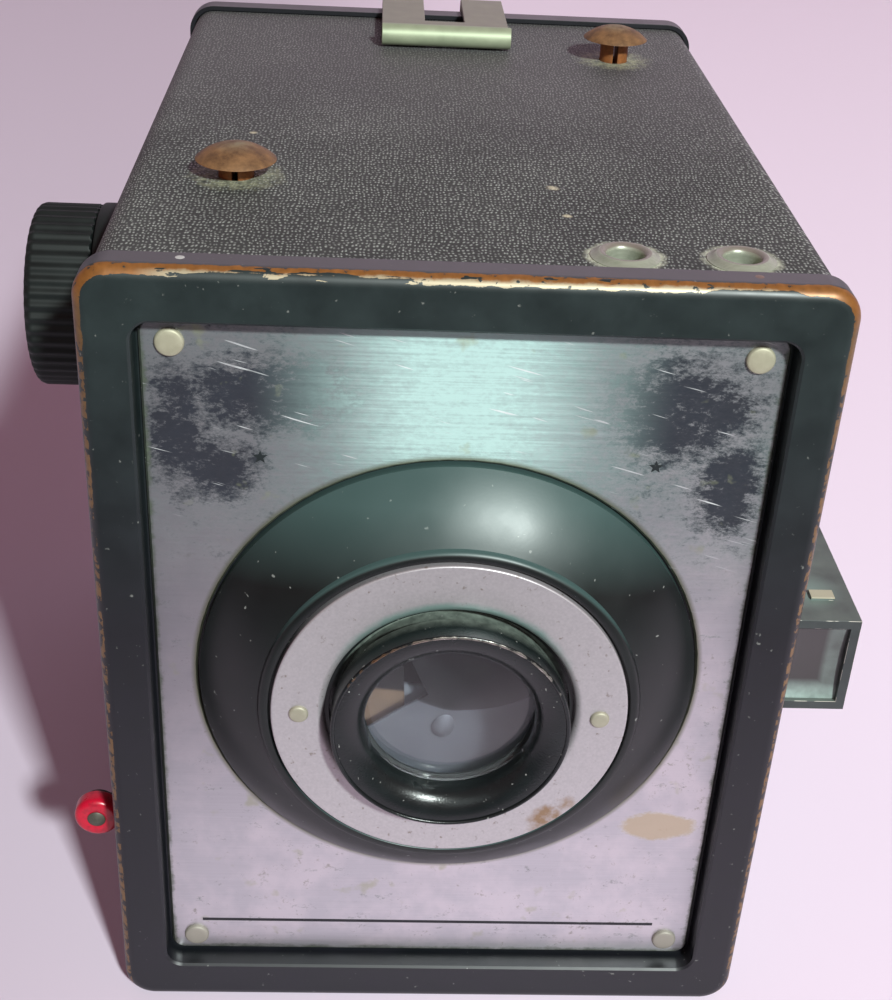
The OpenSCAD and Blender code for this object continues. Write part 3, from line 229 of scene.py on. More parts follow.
matt_black, add, place, uneven, paint = mottled_finish("matt_black_japan", 6, 4, "#161617", "#232325")
# Brushed paint dries in a faint unevenness of a few millimetres and a fine dust of specks.
dust = add("TexNoise", [place, 1 / (0.5 * MM), 2])
speck = add("MapRange", {"Value": dust, "From": (0.66, 0.75), "To": (0, 0.35)})
dusted = add("Mix", [speck, paint, "#6b6864"])
dull = add("MapRange", {"Value": uneven, "To": (0.5, 0.75)})
bump = add("Bump", {"Height": dust, "Strength": 0.15, "Distance": 0.05 * MM})
shader = add("BsdfPrincipled", {"Base Color": dusted, "Roughness": dull, "Normal": bump})
add("OutputMaterial", {"Surface": shader})

for node in ("body_top", "body_sides", "body_floor"):
    rounded_copy(node, matt_black, edge=0.1)


# Leatherette: black coated cloth with a pressed pebble grain, wrapped round the sleeve and
# glued, with its ends tucked under the lips of the panel and the door.
def corners(node):
    """A node's lowest and highest corners in millimetres."""
    return [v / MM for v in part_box(node)]


grain_row = 0.78
grain_length = 0.46
grain_sway = 0.6
eyelet_spots = [(16.8, -45.5), (29.5, -45.5)]
stud_low, stud_high = corners("strap_studs")
stud_r = 4.85
stud_spots = [
    (stud_low[0] + stud_r, stud_low[1] + stud_r), (stud_high[0] - stud_r, stud_high[1] - stud_r)]
bald_flecks = [((10.8, -24.2), 1.3), ((11.7, -33.6), 0.9), ((-25.9, -7.2), 0.8)]
cover_top = corners("body_covering")[1][2]

leatherette, add, place = new_finish("pebbled_leatherette")
# The grain lies in wavy rows across the box: small pebbles on a darker ground, their tops painted
# pale as a painted highlight, worn flat towards the rear.
sway = add("TexNoise", [place, 1 / (6 * MM), 2], out="Color")
swayed = add("Mix", [grain_sway * MM, place, sway], blend_type="LINEAR_LIGHT")
across = add(
    "VectorMath",
    [swayed, (grain_row / grain_length, 0, grain_row / grain_length)], operation="DOT_PRODUCT", out="Value")
inward = add("VectorMath", [swayed, (0, 1, 1)], operation="DOT_PRODUCT", out="Value")
rows = add("CombineXYZ", {"X": across, "Y": inward})
pebble = add(
    "TexVoronoi",
    {"Vector": rows, "Scale": 1 / (grain_row * MM), "Randomness": 0.55},
    out="Distance", feature="F1", voronoi_dimensions="2D")
top = add(
    "MapRange", {"Value": pebble, "From": (0.05, 0.42), "To": (1, 0)}, interpolation_type="SMOOTHSTEP")
cell = add("MapRange", {"Value": pebble.node.outputs["Color"], "From": (0.25, 0.75), "To": (0.4, 1)})
top = add("Math", [top, cell], operation="MULTIPLY")
blotch = add("TexNoise", [place, 1 / (14 * MM), 5])
rub = add("MapRange", {"Value": blotch, "From": (0.35, 0.75)})
valley = add("Mix", [rub, "#303230", "#414341"])
# Painted highlight: the pebble tops take a pale colour, as if lit.
crest_painted_highlight = add("Mix", [rub, "#959b95", "#b1b7af"])
skin = add("Mix", [top, valley, crest_painted_highlight])
parts = add("SeparateXYZ", [place]).node.outputs
flattened = add(
    "MapRange",
    {"Value": parts["Y"], "From": (-30 * MM, 30 * MM), "To": (0, 0.55)}, interpolation_type="SMOOTHSTEP")
skin = add("Mix", [flattened, skin, "#5b585b"])
# Verdigris dust lies round the eyelets and pale dirt round the studs, and three flecks are bald.
fleck_noise = add("TexNoise", [place, 1 / (0.9 * MM), 3])
halos = [(s, 3.7, 5.2, "#b4b6a4", 1.0) for s in eyelet_spots]
halos += [(s, 3.5, 8.5, "#9a9a82", 0.75) for s in stud_spots]
halos += [(s, 0.2 * r, r, "#c4bba2", 1.0) for s, r in bald_flecks]
for (x, y), inner, outer, colour, most in halos:
    spot = (x * MM, y * MM, cover_top * MM)
    far = add("VectorMath", [place, spot], operation="DISTANCE", out="Value")
    near = add("MapRange", {"Value": far, "From": (inner * MM, outer * MM), "To": (most, 0)})
    broken = add("Math", [near, fleck_noise], operation="MULTIPLY")
    patchy = add("MapRange", {"Value": broken, "From": (0.18, 0.5)})
    skin = add("Mix", [patchy, skin, colour])
gloss = add("MapRange", {"Value": top, "To": (0.62, 0.36)})
pressed = add("MapRange", {"Value": flattened, "To": (0.8, 0.1)})
bump = add("Bump", {"Height": top, "Strength": pressed, "Distance": 0.09 * MM})
shader = add(
    "BsdfPrincipled", {"Base Color": skin, "Roughness": gloss, "Normal": bump, "Specular IOR Level": 0.35})
add("OutputMaterial", {"Surface": shader})
rounded_copy("body_covering", leatherette, edge=0.1)

# Front panel: sheet steel pressed to a shallow tray with a rounded rim and a sunk field,
# dipped in black stoving enamel. Handling has rubbed the rim down to the brassy plating.
panel_low, panel_high = corners("front_panel")
middle_z = (panel_low[2] + panel_high[2]) / 2
half_w = (panel_high[0] - panel_low[0]) / 2
half_h = (panel_high[2] - panel_low[2]) / 2
front_y = panel_low[1]
rim_corner = 4.0
rim_round = 1.6
rim_depth = 4.2
sheet = 0.7
border_side = 6.0
border_end = 6.4
wall_slope = 0.2
field_corner = 2.0
field_depth = 3.2
field_sheet = 0.8
light_hole = 17.0
lip_round = 0.3
lip_drop = 0.25
wall_lean = 0.25
foot_round = 0.6
rub_fall = 1.15
lip_rub = 0.55
corner_steps = 16
arc_steps = 8


def rounded_loop(bm, side, end, corner, y):
    """A loop of edges at a depth: a rectangle with round corners, inset from the panel's outline."""
    made = bmesh.ops.create_circle(bm, segments=4 * corner_steps, radius=corner)["verts"]
    turn = Matrix.Rotation(math.pi / (4 * corner_steps), 3, "Z")
    for v in made:
        flat = turn @ v.co
        x = flat.x + math.copysign(half_w - side - corner, flat.x)
        z = flat.y + math.copysign(half_h - end - corner, flat.y)
        v.co = (x, front_y + y, middle_z + z)
    return made


def loop_edges(verts):
    """The edges of a loop that was made in one go."""
    chosen = set(verts)
    return list({e for v in verts for e in v.link_edges if set(e.verts) <= chosen})


def bridged(bm, loops):
    """Joins loops of edges in turn by faces, and the last to the first, with faces outwards."""
    edges = [loop_edges(loop) for loop in loops]
    for a, b in zip(edges, edges[1:] + edges[:1]):
        bmesh.ops.bridge_loops(bm, edges=a + b)
    bmesh.ops.recalc_face_normals(bm, faces=bm.faces)


bm = bmesh.new()
wear = bm.verts.layers.float.new("wear")
turn = bm.verts.layers.float.new("turn")
loops = [rounded_loop(bm, 0, 0, rim_corner, rim_depth)]
for step in range(arc_steps + 1):
    angle = math.radians(90 * step / arc_steps)
    inset = rim_round * (1 - math.cos(angle))
    loops.append(rounded_loop(bm, inset, inset, rim_corner - inset, rim_round * (1 - math.sin(angle))))
    for v in loops[-1]:
        v[wear] = 1 - abs(math.sin(angle) - math.cos(angle)) * rub_fall
        v[turn] = step / arc_steps
ridge = wall_slope + lip_round
for inset, y, worn in ((ridge, 0, 0), (wall_slope, lip_drop, lip_rub)):
    loops.append(rounded_loop(bm, border_side - inset, border_end - inset, field_corner + inset, y))
    for v in loops[-1]:
        v[wear] = worn
        v[turn] = 1
foot_side, foot_end = border_side - wall_lean, border_end - wall_lean
loops.append(rounded_loop(bm, foot_side, foot_end, field_corner, field_depth - foot_round))
loops.append(rounded_loop(bm, border_side, border_end, field_corner, field_depth))
for y in (field_depth, field_depth + field_sheet):
    loops.append(rounded_loop(bm, half_w - light_hole, half_h - light_hole, light_hole, y))
wall_side, wall_end = border_side - field_sheet, border_end - field_sheet
loops.append(rounded_loop(bm, wall_side, wall_end, field_corner, field_depth + field_sheet))
back_ridge = ridge + field_sheet
loops.append(
    rounded_loop(bm, border_side - back_ridge, border_end - back_ridge, field_corner + back_ridge, sheet))
for step in range(arc_steps, -1, -1):
    angle = math.radians(90 * step / arc_steps)
    inset = rim_round - (rim_round - sheet) * math.cos(angle)
    depth = rim_round - (rim_round - sheet) * math.sin(angle)
    loops.append(rounded_loop(bm, inset, inset, rim_corner - inset, depth))
loops.append(rounded_loop(bm, sheet, sheet, rim_corner - sheet, rim_depth))
bridged(bm, loops)


def specked(add, place, tone, size, detail, span, most, colour):
    """A tone with specks over it: their size in millimetres, the noise they fill and their strength."""
    grains = add("TexNoise", [place, 1 / (size * MM), detail])
    speck = add("MapRange", {"Value": grains, "From": span, "To": (0, most)})
    return add("Mix", [speck, tone, colour])


enamel, add, place = new_finish("black_stoving_enamel")
parts = add("SeparateXYZ", [place]).node.outputs
# The rub is widest along the top and round its corners, and a thin line down the sides. The
# undercoat shows orange on the upper half of the round; below it along the top the round is painted
# cream, a painted highlight. One stretch is sound.
rubbed = add("Attribute", out="Fac", attribute_name="wear")
turned = add("Attribute", out="Fac", attribute_name="turn")
height = add(
    "MapRange",
    {"Value": parts["Z"], "From": (90 * MM, 103.5 * MM), "To": (0.92, 0.14)},
    interpolation_type="SMOOTHSTEP")
aside = add("Math", [parts["X"]], operation="ABSOLUTE")
on_side = add("MapRange", {"Value": aside, "From": (38.5 * MM, 39.5 * MM)})
height = add("Math", [on_side, -0.4, height], operation="MULTIPLY_ADD")
sound_from = add("MapRange", {"Value": parts["X"], "From": (23 * MM, 25.5 * MM)})
sound_to = add("MapRange", {"Value": parts["X"], "From": (33 * MM, 36.5 * MM), "To": (1, 0)})
lower = add("MapRange", {"Value": turned, "From": (0.34, 0.5)})
sound = add("Math", [sound_from, sound_to], operation="MULTIPLY")
sound = add("Math", [sound, lower], operation="MULTIPLY")
limit = add("Math", [sound, 0.75, height], operation="MULTIPLY_ADD")
ragged = add("TexNoise", [place, 1 / (2.6 * MM), 6, 0.65])
ragged_shift = add("MapRange", {"Value": ragged, "From": (0.2, 0.8), "To": (-0.3, 0.3)})
low_turn = add("Math", [ragged_shift, 0.6, turned], operation="MULTIPLY_ADD")
on_front = add("MapRange", {"Value": low_turn, "From": (0.7, 0.78), "To": (0, 0.8)})
limit = add("Math", [limit, on_front], operation="MAXIMUM")
drawn = add("Mapping", {"Vector": place, "Scale": (0.3, 1, 1)})
flaws = add("TexNoise", [drawn, 1 / (1.3 * MM), 4])
flawed_from = add("MapRange", {"Value": parts["X"], "From": (-34 * MM, -24 * MM)})
flawed_to = add("MapRange", {"Value": parts["X"], "From": (-12 * MM, 4 * MM), "To": (1, 0)})
flawed = add("Math", [flawed_from, flawed_to], operation="MULTIPLY")
flawed = add("Math", [flawed, lower], operation="MULTIPLY")
flawed = add("Math", [flawed, 0.22, flaws], operation="MULTIPLY_ADD")
flawed = add("MapRange", {"Value": flawed, "From": (0.62, 0.66), "To": (0, 0.8)})
limit = add("Math", [limit, flawed], operation="ADD")
reached = add("Math", [rubbed, ragged_shift], operation="ADD")
past = add("Math", [reached, limit], operation="SUBTRACT")
bare = add("MapRange", {"Value": past, "From": (0, 0.06)})
on_round = add("Math", [rubbed, 0.02], operation="GREATER_THAN")
bare = add("Math", [bare, on_round], operation="MULTIPLY")
chips = add("TexNoise", [place, 1 / (0.9 * MM), 4])
below_top = add("MapRange", {"Value": parts["Z"], "From": (92 * MM, 100 * MM), "To": (0.12, -0.05)})
holding = add("Math", [on_side, below_top, 0.34], operation="MULTIPLY_ADD")
chip = add("Math", [chips, holding], operation="SUBTRACT")
chip = add("MapRange", {"Value": chip, "From": (0, 0.04)})
bare = add("Math", [bare, chip], operation="MULTIPLY")
# Painted highlight: cream on the lower half of the round along the top.
painted_highlight_cream = add("MapRange", {"Value": low_turn, "From": (0.42, 0.56)})
off_corners = add("MapRange", {"Value": aside, "From": (31 * MM, 34.5 * MM), "To": (1, 0)})
painted_highlight_cream = add("Math", [painted_highlight_cream, off_corners], operation="MULTIPLY")
along_top = add("MapRange", {"Value": parts["Z"], "From": (100.5 * MM, 103 * MM)})
dark_gold = add("Mix", [along_top, "#4a3220", "#65401f"])
gold = add("Mix", [along_top, "#8b6a42", "#a36c38"])
orange = add("Mix", [chips, dark_gold, gold])
painted_highlight_cream = add("Math", [painted_highlight_cream, along_top], operation="MULTIPLY")
bared_tone = add("Mix", [painted_highlight_cream, orange, "#a89a80"])
# The field's inner lip is bared to pale grey, wear and a painted highlight line in one.
inner = add("Math", [turned, 0.99], operation="GREATER_THAN")
bared_tone = add("Mix", [inner, bared_tone, "#8f8b86"])
smear = add("TexNoise", [place, 1 / (6 * MM), 7, 0.6])
# Painted sheen: the front's enamel turns lighter teal towards the top.
above = add("MapRange", {"Value": parts["Z"], "From": (60 * MM, 100 * MM)})
in_front = add("MapRange", {"Value": parts["Y"], "From": (-52 * MM, -48 * MM), "To": (1, 0)})
above = add("Math", [above, in_front], operation="MULTIPLY")
painted_sheen = add("Mix", [above, "#17161f", "#2f3b3b"])
gloss_black = add("Mix", [smear, "#0b1112", painted_sheen])
gloss_black = specked(add, place, gloss_black, 0.7, 2, (0.72, 0.78), 0.5, "#8d8f8a")
facing = add("SeparateXYZ", [add("NewGeometry", out="Normal")]).node.outputs
# Dust and painted sheen: up-facing faces near the top are coloured grey.
dust_and_painted_sheen = add("MapRange", {"Value": facing["Z"], "From": (0.9, 1), "To": (0, 0.55)})
on_top = add("MapRange", {"Value": parts["Z"], "From": (90 * MM, 100 * MM)})
dust_and_painted_sheen = add("Math", [dust_and_painted_sheen, on_top], operation="MULTIPLY")
gloss_black = add("Mix", [dust_and_painted_sheen, gloss_black, "#625a60"])
coat = add("Mix", [bare, gloss_black, bared_tone])
metal = add("Math", [bare, 0.25], operation="MULTIPLY")
worn_gloss = add("MapRange", {"Value": smear, "To": (0.3, 0.5)})
bump = add("Bump", {"Height": bare, "Strength": 0.3, "Distance": -0.04 * MM})
shader = add(
    "BsdfPrincipled", {"Base Color": coat, "Metallic": metal, "Roughness": worn_gloss, "Normal": bump})
add("OutputMaterial", {"Surface": shader})
settle(bm, "front_panel", enamel)

# Nails: small steel nails driven through the panel's lips into the sleeve. Their ends are
# filed nearly flush and show as small round dots.
bright_nail, add, place, _, tone = mottled_finish("whitened_steel", 0.5, 3, "#a9a9a6", "#d8d8d4")
# The filed ends have gone chalky and catch the light; those to the right have rusted.
parts = add("SeparateXYZ", [place]).node.outputs
rusted = add("MapRange", {"Value": parts["X"], "From": (0, 10 * MM), "To": (0, 0.9)})
tone = add("Mix", [rusted, tone, "#76574a"])
shader = add("BsdfPrincipled", {"Base Color": tone, "Metallic": 0.2, "Roughness": 0.5})
add("OutputMaterial", {"Surface": shader})
rounded_copy("panel_nails", bright_nail, edge=0.12)

# Faceplate: thin bright sheet, brushed from side to side and lacquered, laid in the panel's
# sunk field. The upper corners are coloured dark indigo: tarnish where the lacquer has gone, and a
# painted dark reflection.
plate_low, plate_high = corners("faceplate")
plate_front = plate_low[1]
plate_side = half_w - plate_high[0]
plate_end = half_h - (plate_high[2] - plate_low[2]) / 2
plate_corner = 1.7
plate_sheet = plate_high[1] - plate_low[1]
plate_hole = 29.9
burr = 0.25
lens_z = middle_z

bm = bmesh.new()
depth = plate_front - front_y
outline = []
for inset, y in ((0, plate_sheet), (0, burr), (burr, 0)):
    side, end = plate_side + inset, plate_end + inset
    outline.append(rounded_loop(bm, side, end, plate_corner - inset, depth + y))
for radius, y in ((plate_hole + burr, 0), (plate_hole, burr), (plate_hole, plate_sheet)):
    outline.append(rounded_loop(bm, half_w - radius, half_h - radius, radius, depth + y))
bridged(bm, outline)


def nearness(add, place, x, z, wide, tall, tilt=0, edge=0.5):
    """A field that is 1 inside an ellipse on the front, given in millimetres, and fades to 0 outside."""
    scaled = add(
        "Mapping",
        {"Vector": place, "Location": (x * MM, 0, z * MM), "Rotation": (0, math.radians(-tilt), 0),
         "Scale": (wide * MM, 1, tall * MM)}, vector_type="TEXTURE")
    far = add("VectorMath", [scaled], operation="LENGTH", out="Value")
    return add("MapRange", {"Value": far, "From": (1 - edge, 1 + edge), "To": (1, 0)})


tarnish_and_dark_patches = [
    (-31, 86, 3.5, 8), (-21, 90.5, 10.5, 4.5), (-27, 81, 5, 4), (24, 89.5, 8.5, 6.5), (30, 80, 4, 6)]
stain_patch = (28.3, 29.6, 4.6, 2.4)
hole_grime = 0.6
side_grime = 1.3
foot_grime = 1.6
scratch_slant = -16

bright_plate, add, place = new_finish("brushed_faceplate")
parts = add("SeparateXYZ", [place]).node.outputs
# Brush lines about 0.2 mm apart, polished nearly away, draw highlights out up and down.
along = add("Mapping", {"Vector": place, "Scale": (0.02, 1, 1)})
brush = add("TexNoise", [along, 1 / (0.22 * MM), 4])
cloud = add("TexNoise", [place, 1 / (7 * MM), 5, 0.6])
streaked = add("Mapping", {"Vector": place, "Scale": (0.6, 1, 1)})
mottle = add("TexNoise", [streaked, 1 / (2.2 * MM), 9, 0.75])
swing = add("MapRange", {"Value": mottle, "From": (0.25, 0.75), "To": (-0.5, 0.5)})
fine = add("TexNoise", [streaked, 1 / (0.5 * MM), 6, 0.8])
grain = add("MapRange", {"Value": fine, "From": (0.3, 0.7), "To": (-0.5, 0.5)})
plate_tone = add("Mix", [brush, "#bcbbc0", "#cecdd2"])
# The lacquer of the lower half is blotched white and grey, with clusters of short olive scribbles.
pale = add("MapRange", {"Value": cloud, "From": (0.42, 0.62), "To": (0, 0.6)})
plate_tone = add("Mix", [pale, plate_tone, "#ded8dc"])
twigs = add("TexNoise", [place, 1 / (1.1 * MM), 7, 0.7])
gathered = add("MapRange", {"Value": cloud, "From": (0.4, 0.6), "To": (-0.08, 0.03)})
twig = add("Math", [twigs, gathered], operation="ADD")
twig = add("MapRange", {"Value": twig, "From": (0.61, 0.7), "To": (0, 0.6)})
plate_tone = add("Mix", [twig, plate_tone, "#848172"])
# The upper half is cloudy teal-grey, a lacquer film and a painted dark reflection in one, and
# indigo patches break through it, tarnish and painted dark reflection in one.
upper = add("MapRange", {"Value": parts["Z"], "From": (58 * MM, 82 * MM)}, interpolation_type="SMOOTHSTEP")
clouded = add("Math", [swing, 0.6, cloud], operation="MULTIPLY_ADD")
clouded = add("Math", [grain, 0.7, clouded], operation="MULTIPLY_ADD")
clouded = add("MapRange", {"Value": clouded, "From": (0.2, 0.75), "To": (0.3, 0.9)})
film = add("Math", [upper, clouded], operation="MULTIPLY")
film_and_painted_dark_tone = add("Mix", [mottle, "#4e5a5e", "#869898"])
plate_tone = add("Mix", [film, plate_tone, film_and_painted_dark_tone])
# Painted shade: the left side is coloured a dimmer grey.
leftward_side = add("MapRange", {"Value": parts["X"], "From": (-30 * MM, 4 * MM), "To": (0.6, 0)})
off_floor = add("MapRange", {"Value": parts["Z"], "From": (28 * MM, 50 * MM)})
dim = add("Math", [leftward_side, off_floor], operation="MULTIPLY")
plate_tone = add("Mix", [dim, plate_tone, "#88878d"])
reach = add("Math", [upper, 0.12], operation="MULTIPLY")
for patch in tarnish_and_dark_patches:
    near = nearness(add, place, *patch)
    reach = add("Math", [reach, near], operation="MAXIMUM")
broken = add("Math", [swing, 1.2, reach], operation="MULTIPLY_ADD")
broken = add("Math", [grain, 0.8, broken], operation="MULTIPLY_ADD")
tarnish_and_painted_dark = add("MapRange", {"Value": broken, "From": (0.3, 0.85), "To": (0, 0.94)})
tarnish_and_painted_dark_tone = add("Mix", [cloud, "#0e0c1a", "#272c39"])
plate_tone = add("Mix", [tarnish_and_painted_dark, plate_tone, tarnish_and_painted_dark_tone])
# A painted highlight lies across the top middle: pale teal, streaked, where the lamp's light is
# mirrored.
aside = add("Math", [parts["X"]], operation="ABSOLUTE")
centre = add(
    "MapRange", {"Value": aside, "From": (2 * MM, 24 * MM), "To": (1, 0)}, interpolation_type="SMOOTHSTEP")
high = add("MapRange", {"Value": parts["Z"], "From": (68 * MM, 86 * MM)}, interpolation_type="SMOOTHSTEP")
painted_highlight_top = add("Math", [centre, high], operation="MULTIPLY")
streaks = add("MapRange", {"Value": brush, "From": (0.3, 0.7), "To": (0.82, 1.1)})
ragged_highlight = add("Math", [grain, 0.4, streaks], operation="MULTIPLY_ADD")
painted_highlight_top = add("Math", [painted_highlight_top, ragged_highlight], operation="MULTIPLY", use_clamp=True)
plate_tone = add("Mix", [painted_highlight_top, plate_tone, "#c0e0dc"])
# Yellow-green spots of old lacquer, thin and few.
plate_tone = specked(add, place, plate_tone, 3.4, 3, (0.66, 0.76), 0.5, "#a7ab86")
# A tan rust stain lies by the lower right of the lens, and grime round the hole's edge.
stain = nearness(add, place, *stain_patch)
stain = add("Math", [swing, 0.7, stain], operation="MULTIPLY_ADD")
stain = add("MapRange", {"Value": stain, "From": (0.4, 0.65), "To": (0, 0.85)})
plate_tone = add("Mix", [stain, plate_tone, "#a58f7a"])
hub = (0.0, plate_front * MM, lens_z * MM)
ring = add("VectorMath", [place, hub], operation="DISTANCE", out="Value")
grime = add(
    "MapRange",
    {"Value": ring, "From": ((plate_hole + burr) * MM, (plate_hole + burr + hole_grime) * MM),
     "To": (0.85, 0)})
plate_tone = add("Mix", [grime, plate_tone, "#70735a"])
# Green-grey dirt has gathered along the plate's sides and foot.
edge_side = add(
    "MapRange", {"Value": aside, "From": ((plate_high[0] - side_grime) * MM, plate_high[0] * MM)})
edge_foot = add(
    "MapRange",
    {"Value": parts["Z"], "From": (plate_low[2] * MM, (plate_low[2] + foot_grime) * MM), "To": (1, 0)})
edge = add("Math", [edge_side, edge_foot], operation="MAXIMUM")
edge = add("Math", [swing, 0.8, edge], operation="MULTIPLY_ADD")
edge = add("MapRange", {"Value": edge, "From": (0.45, 0.85), "To": (0, 0.8)})
plate_tone = add("Mix", [edge, plate_tone, "#66705f"])
# Scratches: short bright lines in the upper half that fall a little to the right.
slant = add("Mapping", {"Vector": place, "Rotation": (0, math.radians(scratch_slant), 0)})
slant = add("Mapping", {"Vector": slant, "Scale": (0.06, 1, 1)})
scores = add("TexNoise", [slant, 1 / (0.45 * MM), 1])
score = add("MapRange", {"Value": scores, "From": (0.7, 0.73), "To": (0, 0.8)})
score = add("Math", [score, upper], operation="MULTIPLY")
plate_tone = add("Mix", [score, plate_tone, "#eceef0"])
gloss = add("MapRange", {"Value": brush, "To": (0.38, 0.46)})
dulled = add("Math", [tarnish_and_painted_dark, 0.12, gloss], operation="MULTIPLY_ADD")
cover = add("Math", [stain, tarnish_and_painted_dark], operation="MAXIMUM")
cover = add("Math", [cover, painted_highlight_top], operation="MAXIMUM")
filmed = add("Math", [film, 0.6], operation="MULTIPLY")
cover = add("Math", [cover, filmed], operation="MAXIMUM")
metallic = add("MapRange", {"Value": cover, "To": (0.95, 0.15)})
bump = add("Bump", {"Height": brush, "Strength": 1.0, "Distance": 0.014 * MM})
shader = add(
    "BsdfPrincipled", {"Base Color": plate_tone, "Metallic": metallic, "Roughness": dulled, "Normal": bump})
add("OutputMaterial", {"Surface": shader})
settle(bm, "faceplate", bright_plate)

# Plate marks: two small stars and a thin rule, pressed into the plate and filled with black
# paint. They stand here as plain inlays a hair above the metal.
inlay = 0.03
star_size = 0.85
star_waist = 0.42
star_spots = [(-22.1, 82.5), (21.75, 82.6)]
rule_ends = (-30.6, 29.6)
rule_z = 12.0
rule_height = 0.45
upright = Matrix.Rotation(math.pi / 2, 3, "X")

bm = bmesh.new()
for x, z in star_spots:
    points = bmesh.ops.create_circle(bm, cap_ends=True, segments=10, radius=star_size)["verts"]
    bmesh.ops.scale(bm, vec=(star_waist,) * 3, verts=points[1::2])
    bmesh.ops.rotate(bm, matrix=upright, verts=points)
    bmesh.ops.translate(bm, vec=(x, plate_front, z), verts=points)
bar = bmesh.ops.create_grid(bm, x_segments=1, y_segments=1, size=0.5)["verts"]
bmesh.ops.scale(bm, vec=(rule_ends[1] - rule_ends[0], rule_height, 1), verts=bar)
bmesh.ops.rotate(bm, matrix=upright, verts=bar)
bmesh.ops.translate(bm, vec=(sum(rule_ends) / 2, plate_front, rule_z), verts=bar)
bmesh.ops.solidify(bm, geom=bm.faces[:], thickness=inlay)
bmesh.ops.recalc_face_normals(bm, faces=bm.faces)
rearmost = max(v.co.y for v in bm.verts)
bmesh.ops.translate(bm, vec=(0, plate_front - rearmost, 0), verts=bm.verts)
settle(bm, "faceplate", enamel, name="plate_marks")


# Rivets: four low nickelled brass rivets hold the faceplate, and two smaller ones the ring.
# Their heads are rolled nearly flat and have yellowed.
def spun(profile, centre, axis, across, steps=96, closed=True):
    """A bmesh turned about an axis from points of radius and height along it."""
    bm = bmesh.new()
    axis, across = Vector(axis), Vector(across)
    verts = [bm.verts.new(Vector(centre) + across * r + axis * h) for r, h in profile]
    ends = list(zip(verts, verts[1:] + verts[:1]))
    edges = [bm.edges.new(pair) for pair in (ends if closed else ends[:-1])]
    bmesh.ops.spin(
        bm, geom=verts + edges, cent=centre, axis=axis, dvec=(0, 0, 0), angle=2 * math.pi,
        steps=steps, use_merge=True)
    bmesh.ops.remove_doubles(bm, verts=bm.verts, dist=0.0005)
    bmesh.ops.recalc_face_normals(bm, faces=bm.faces)
    return bm


def arc(centre, radius, start, end, steps):
    """Points along an arc, with angles in degrees from the radius towards the height."""
    angles = [math.radians(start + (end - start) * i / steps) for i in range(steps + 1)]
    return [(centre[0] + radius * math.cos(a), centre[1] + radius * math.sin(a)) for a in angles]


def joined(parts):
    """One bmesh from several."""
    whole = bmesh.new()
    for part in parts:
        mesh = bpy.data.meshes.new("part")
        part.to_mesh(mesh)
        part.free()
        whole.from_mesh(mesh)
        bpy.data.meshes.remove(mesh)
    return whole


forward = (0, -1, 0)
rightward = (1, 0, 0)
rivet_round = 0.35
crown_share = 0.55
crown_drop = 0.06
rim_drop = 0.1
shank_r = 0.8
clinch_r = 1.2
clinch_h = 0.5
rivet_steps = 32


def rivet(spot, radius, height, length):
    """A rivet at a spot: a low head with a rounded rim, a shank and a clinched end."""
    rim_h = height * (1 - rim_drop)
    profile = [(0, height), (radius * crown_share, height * (1 - crown_drop))]
    profile += arc((radius - rivet_round, rim_h - rivet_round), rivet_round, 75, 0, 5)
    profile += [(radius, 0), (shank_r, 0), (shank_r, -length), (clinch_r, -length), (0, -length - clinch_h)]
    return spun(profile, spot, forward, rightward, rivet_steps, closed=False)


yellow_nickel, add, place, thin, tone = mottled_finish("yellowed_nickel", 1.2, 5, "#a39e86", "#c4bfa9")
# Nickel over brass, dulled by handling: warm where it is thin, with fine pits, and painted greyer
# low down as a painted shade.
parts = add("SeparateXYZ", [place]).node.outputs
low = add("MapRange", {"Value": parts["Z"], "From": (20 * MM, 80 * MM), "To": (0.8, 0)})
tone = add("Mix", [low, tone, "#8b8681"])
gloss = add("MapRange", {"Value": thin, "To": (0.5, 0.64)})
bump = add("Bump", {"Height": thin, "Strength": 0.2, "Distance": 0.03 * MM})
shader = add("BsdfPrincipled", {"Base Color": tone, "Metallic": 0.4, "Roughness": gloss, "Normal": bump})
add("OutputMaterial", {"Surface": shader})

head_low, head_high = corners("faceplate_rivets")
head_r = 1.6
rivets = [
    rivet((x, plate_front, z), head_r, plate_front - head_low[1], plate_sheet + field_sheet)
    for x in (head_low[0] + head_r, head_high[0] - head_r)
    for z in (head_low[2] + head_r, head_high[2] - head_r)]
settle(joined(rivets), "faceplate_rivets", yellow_nickel)

# Lens surround: a dished ring of sheet steel in satin black enamel, drawn up from the plate
# to a shoulder round the trim ring's seat.
surround_low, surround_high = corners("lens_surround")
foot_r = surround_high[0]
surround_h = surround_high[1] - surround_low[1]
shoulder_r = 22.4
seat_r = 21.1
seat_sink = 0.96
seat_h = surround_h - seat_sink
seat_round = 0.2
web_r = 14.1
web_t = 1.2
wall_t = 1.5
edge_h = 1.3
slope_bulge = 0.35
slope_steps = 16
shoulder_round = 0.8
lens_axis = (0, surround_high[1], lens_z)
lens_steps = 160

slope_foot = Vector((foot_r, edge_h))
slope_top = Vector((shoulder_r, surround_h - shoulder_round))
normal = Vector((slope_top.y - slope_foot.y, slope_foot.x - slope_top.x)).normalized()
profile = [(foot_r, 0)]
for i in range(slope_steps + 1):
    t = i / slope_steps
    profile.append(tuple(slope_foot.lerp(slope_top, t) + normal * 4 * slope_bulge * t * (1 - t)))
profile += arc((shoulder_r - shoulder_round, surround_h - shoulder_round), shoulder_round, 30, 90, 6)
profile += arc((seat_r + seat_round, surround_h - seat_round), seat_round, 90, 180, 4)
profile += [(seat_r, seat_h), (web_r, seat_h), (web_r, seat_h - web_t),
            (shoulder_r - wall_t, seat_h - web_t), (foot_r - wall_t, 0)]
bm = spun(profile, lens_axis, forward, rightward, lens_steps)

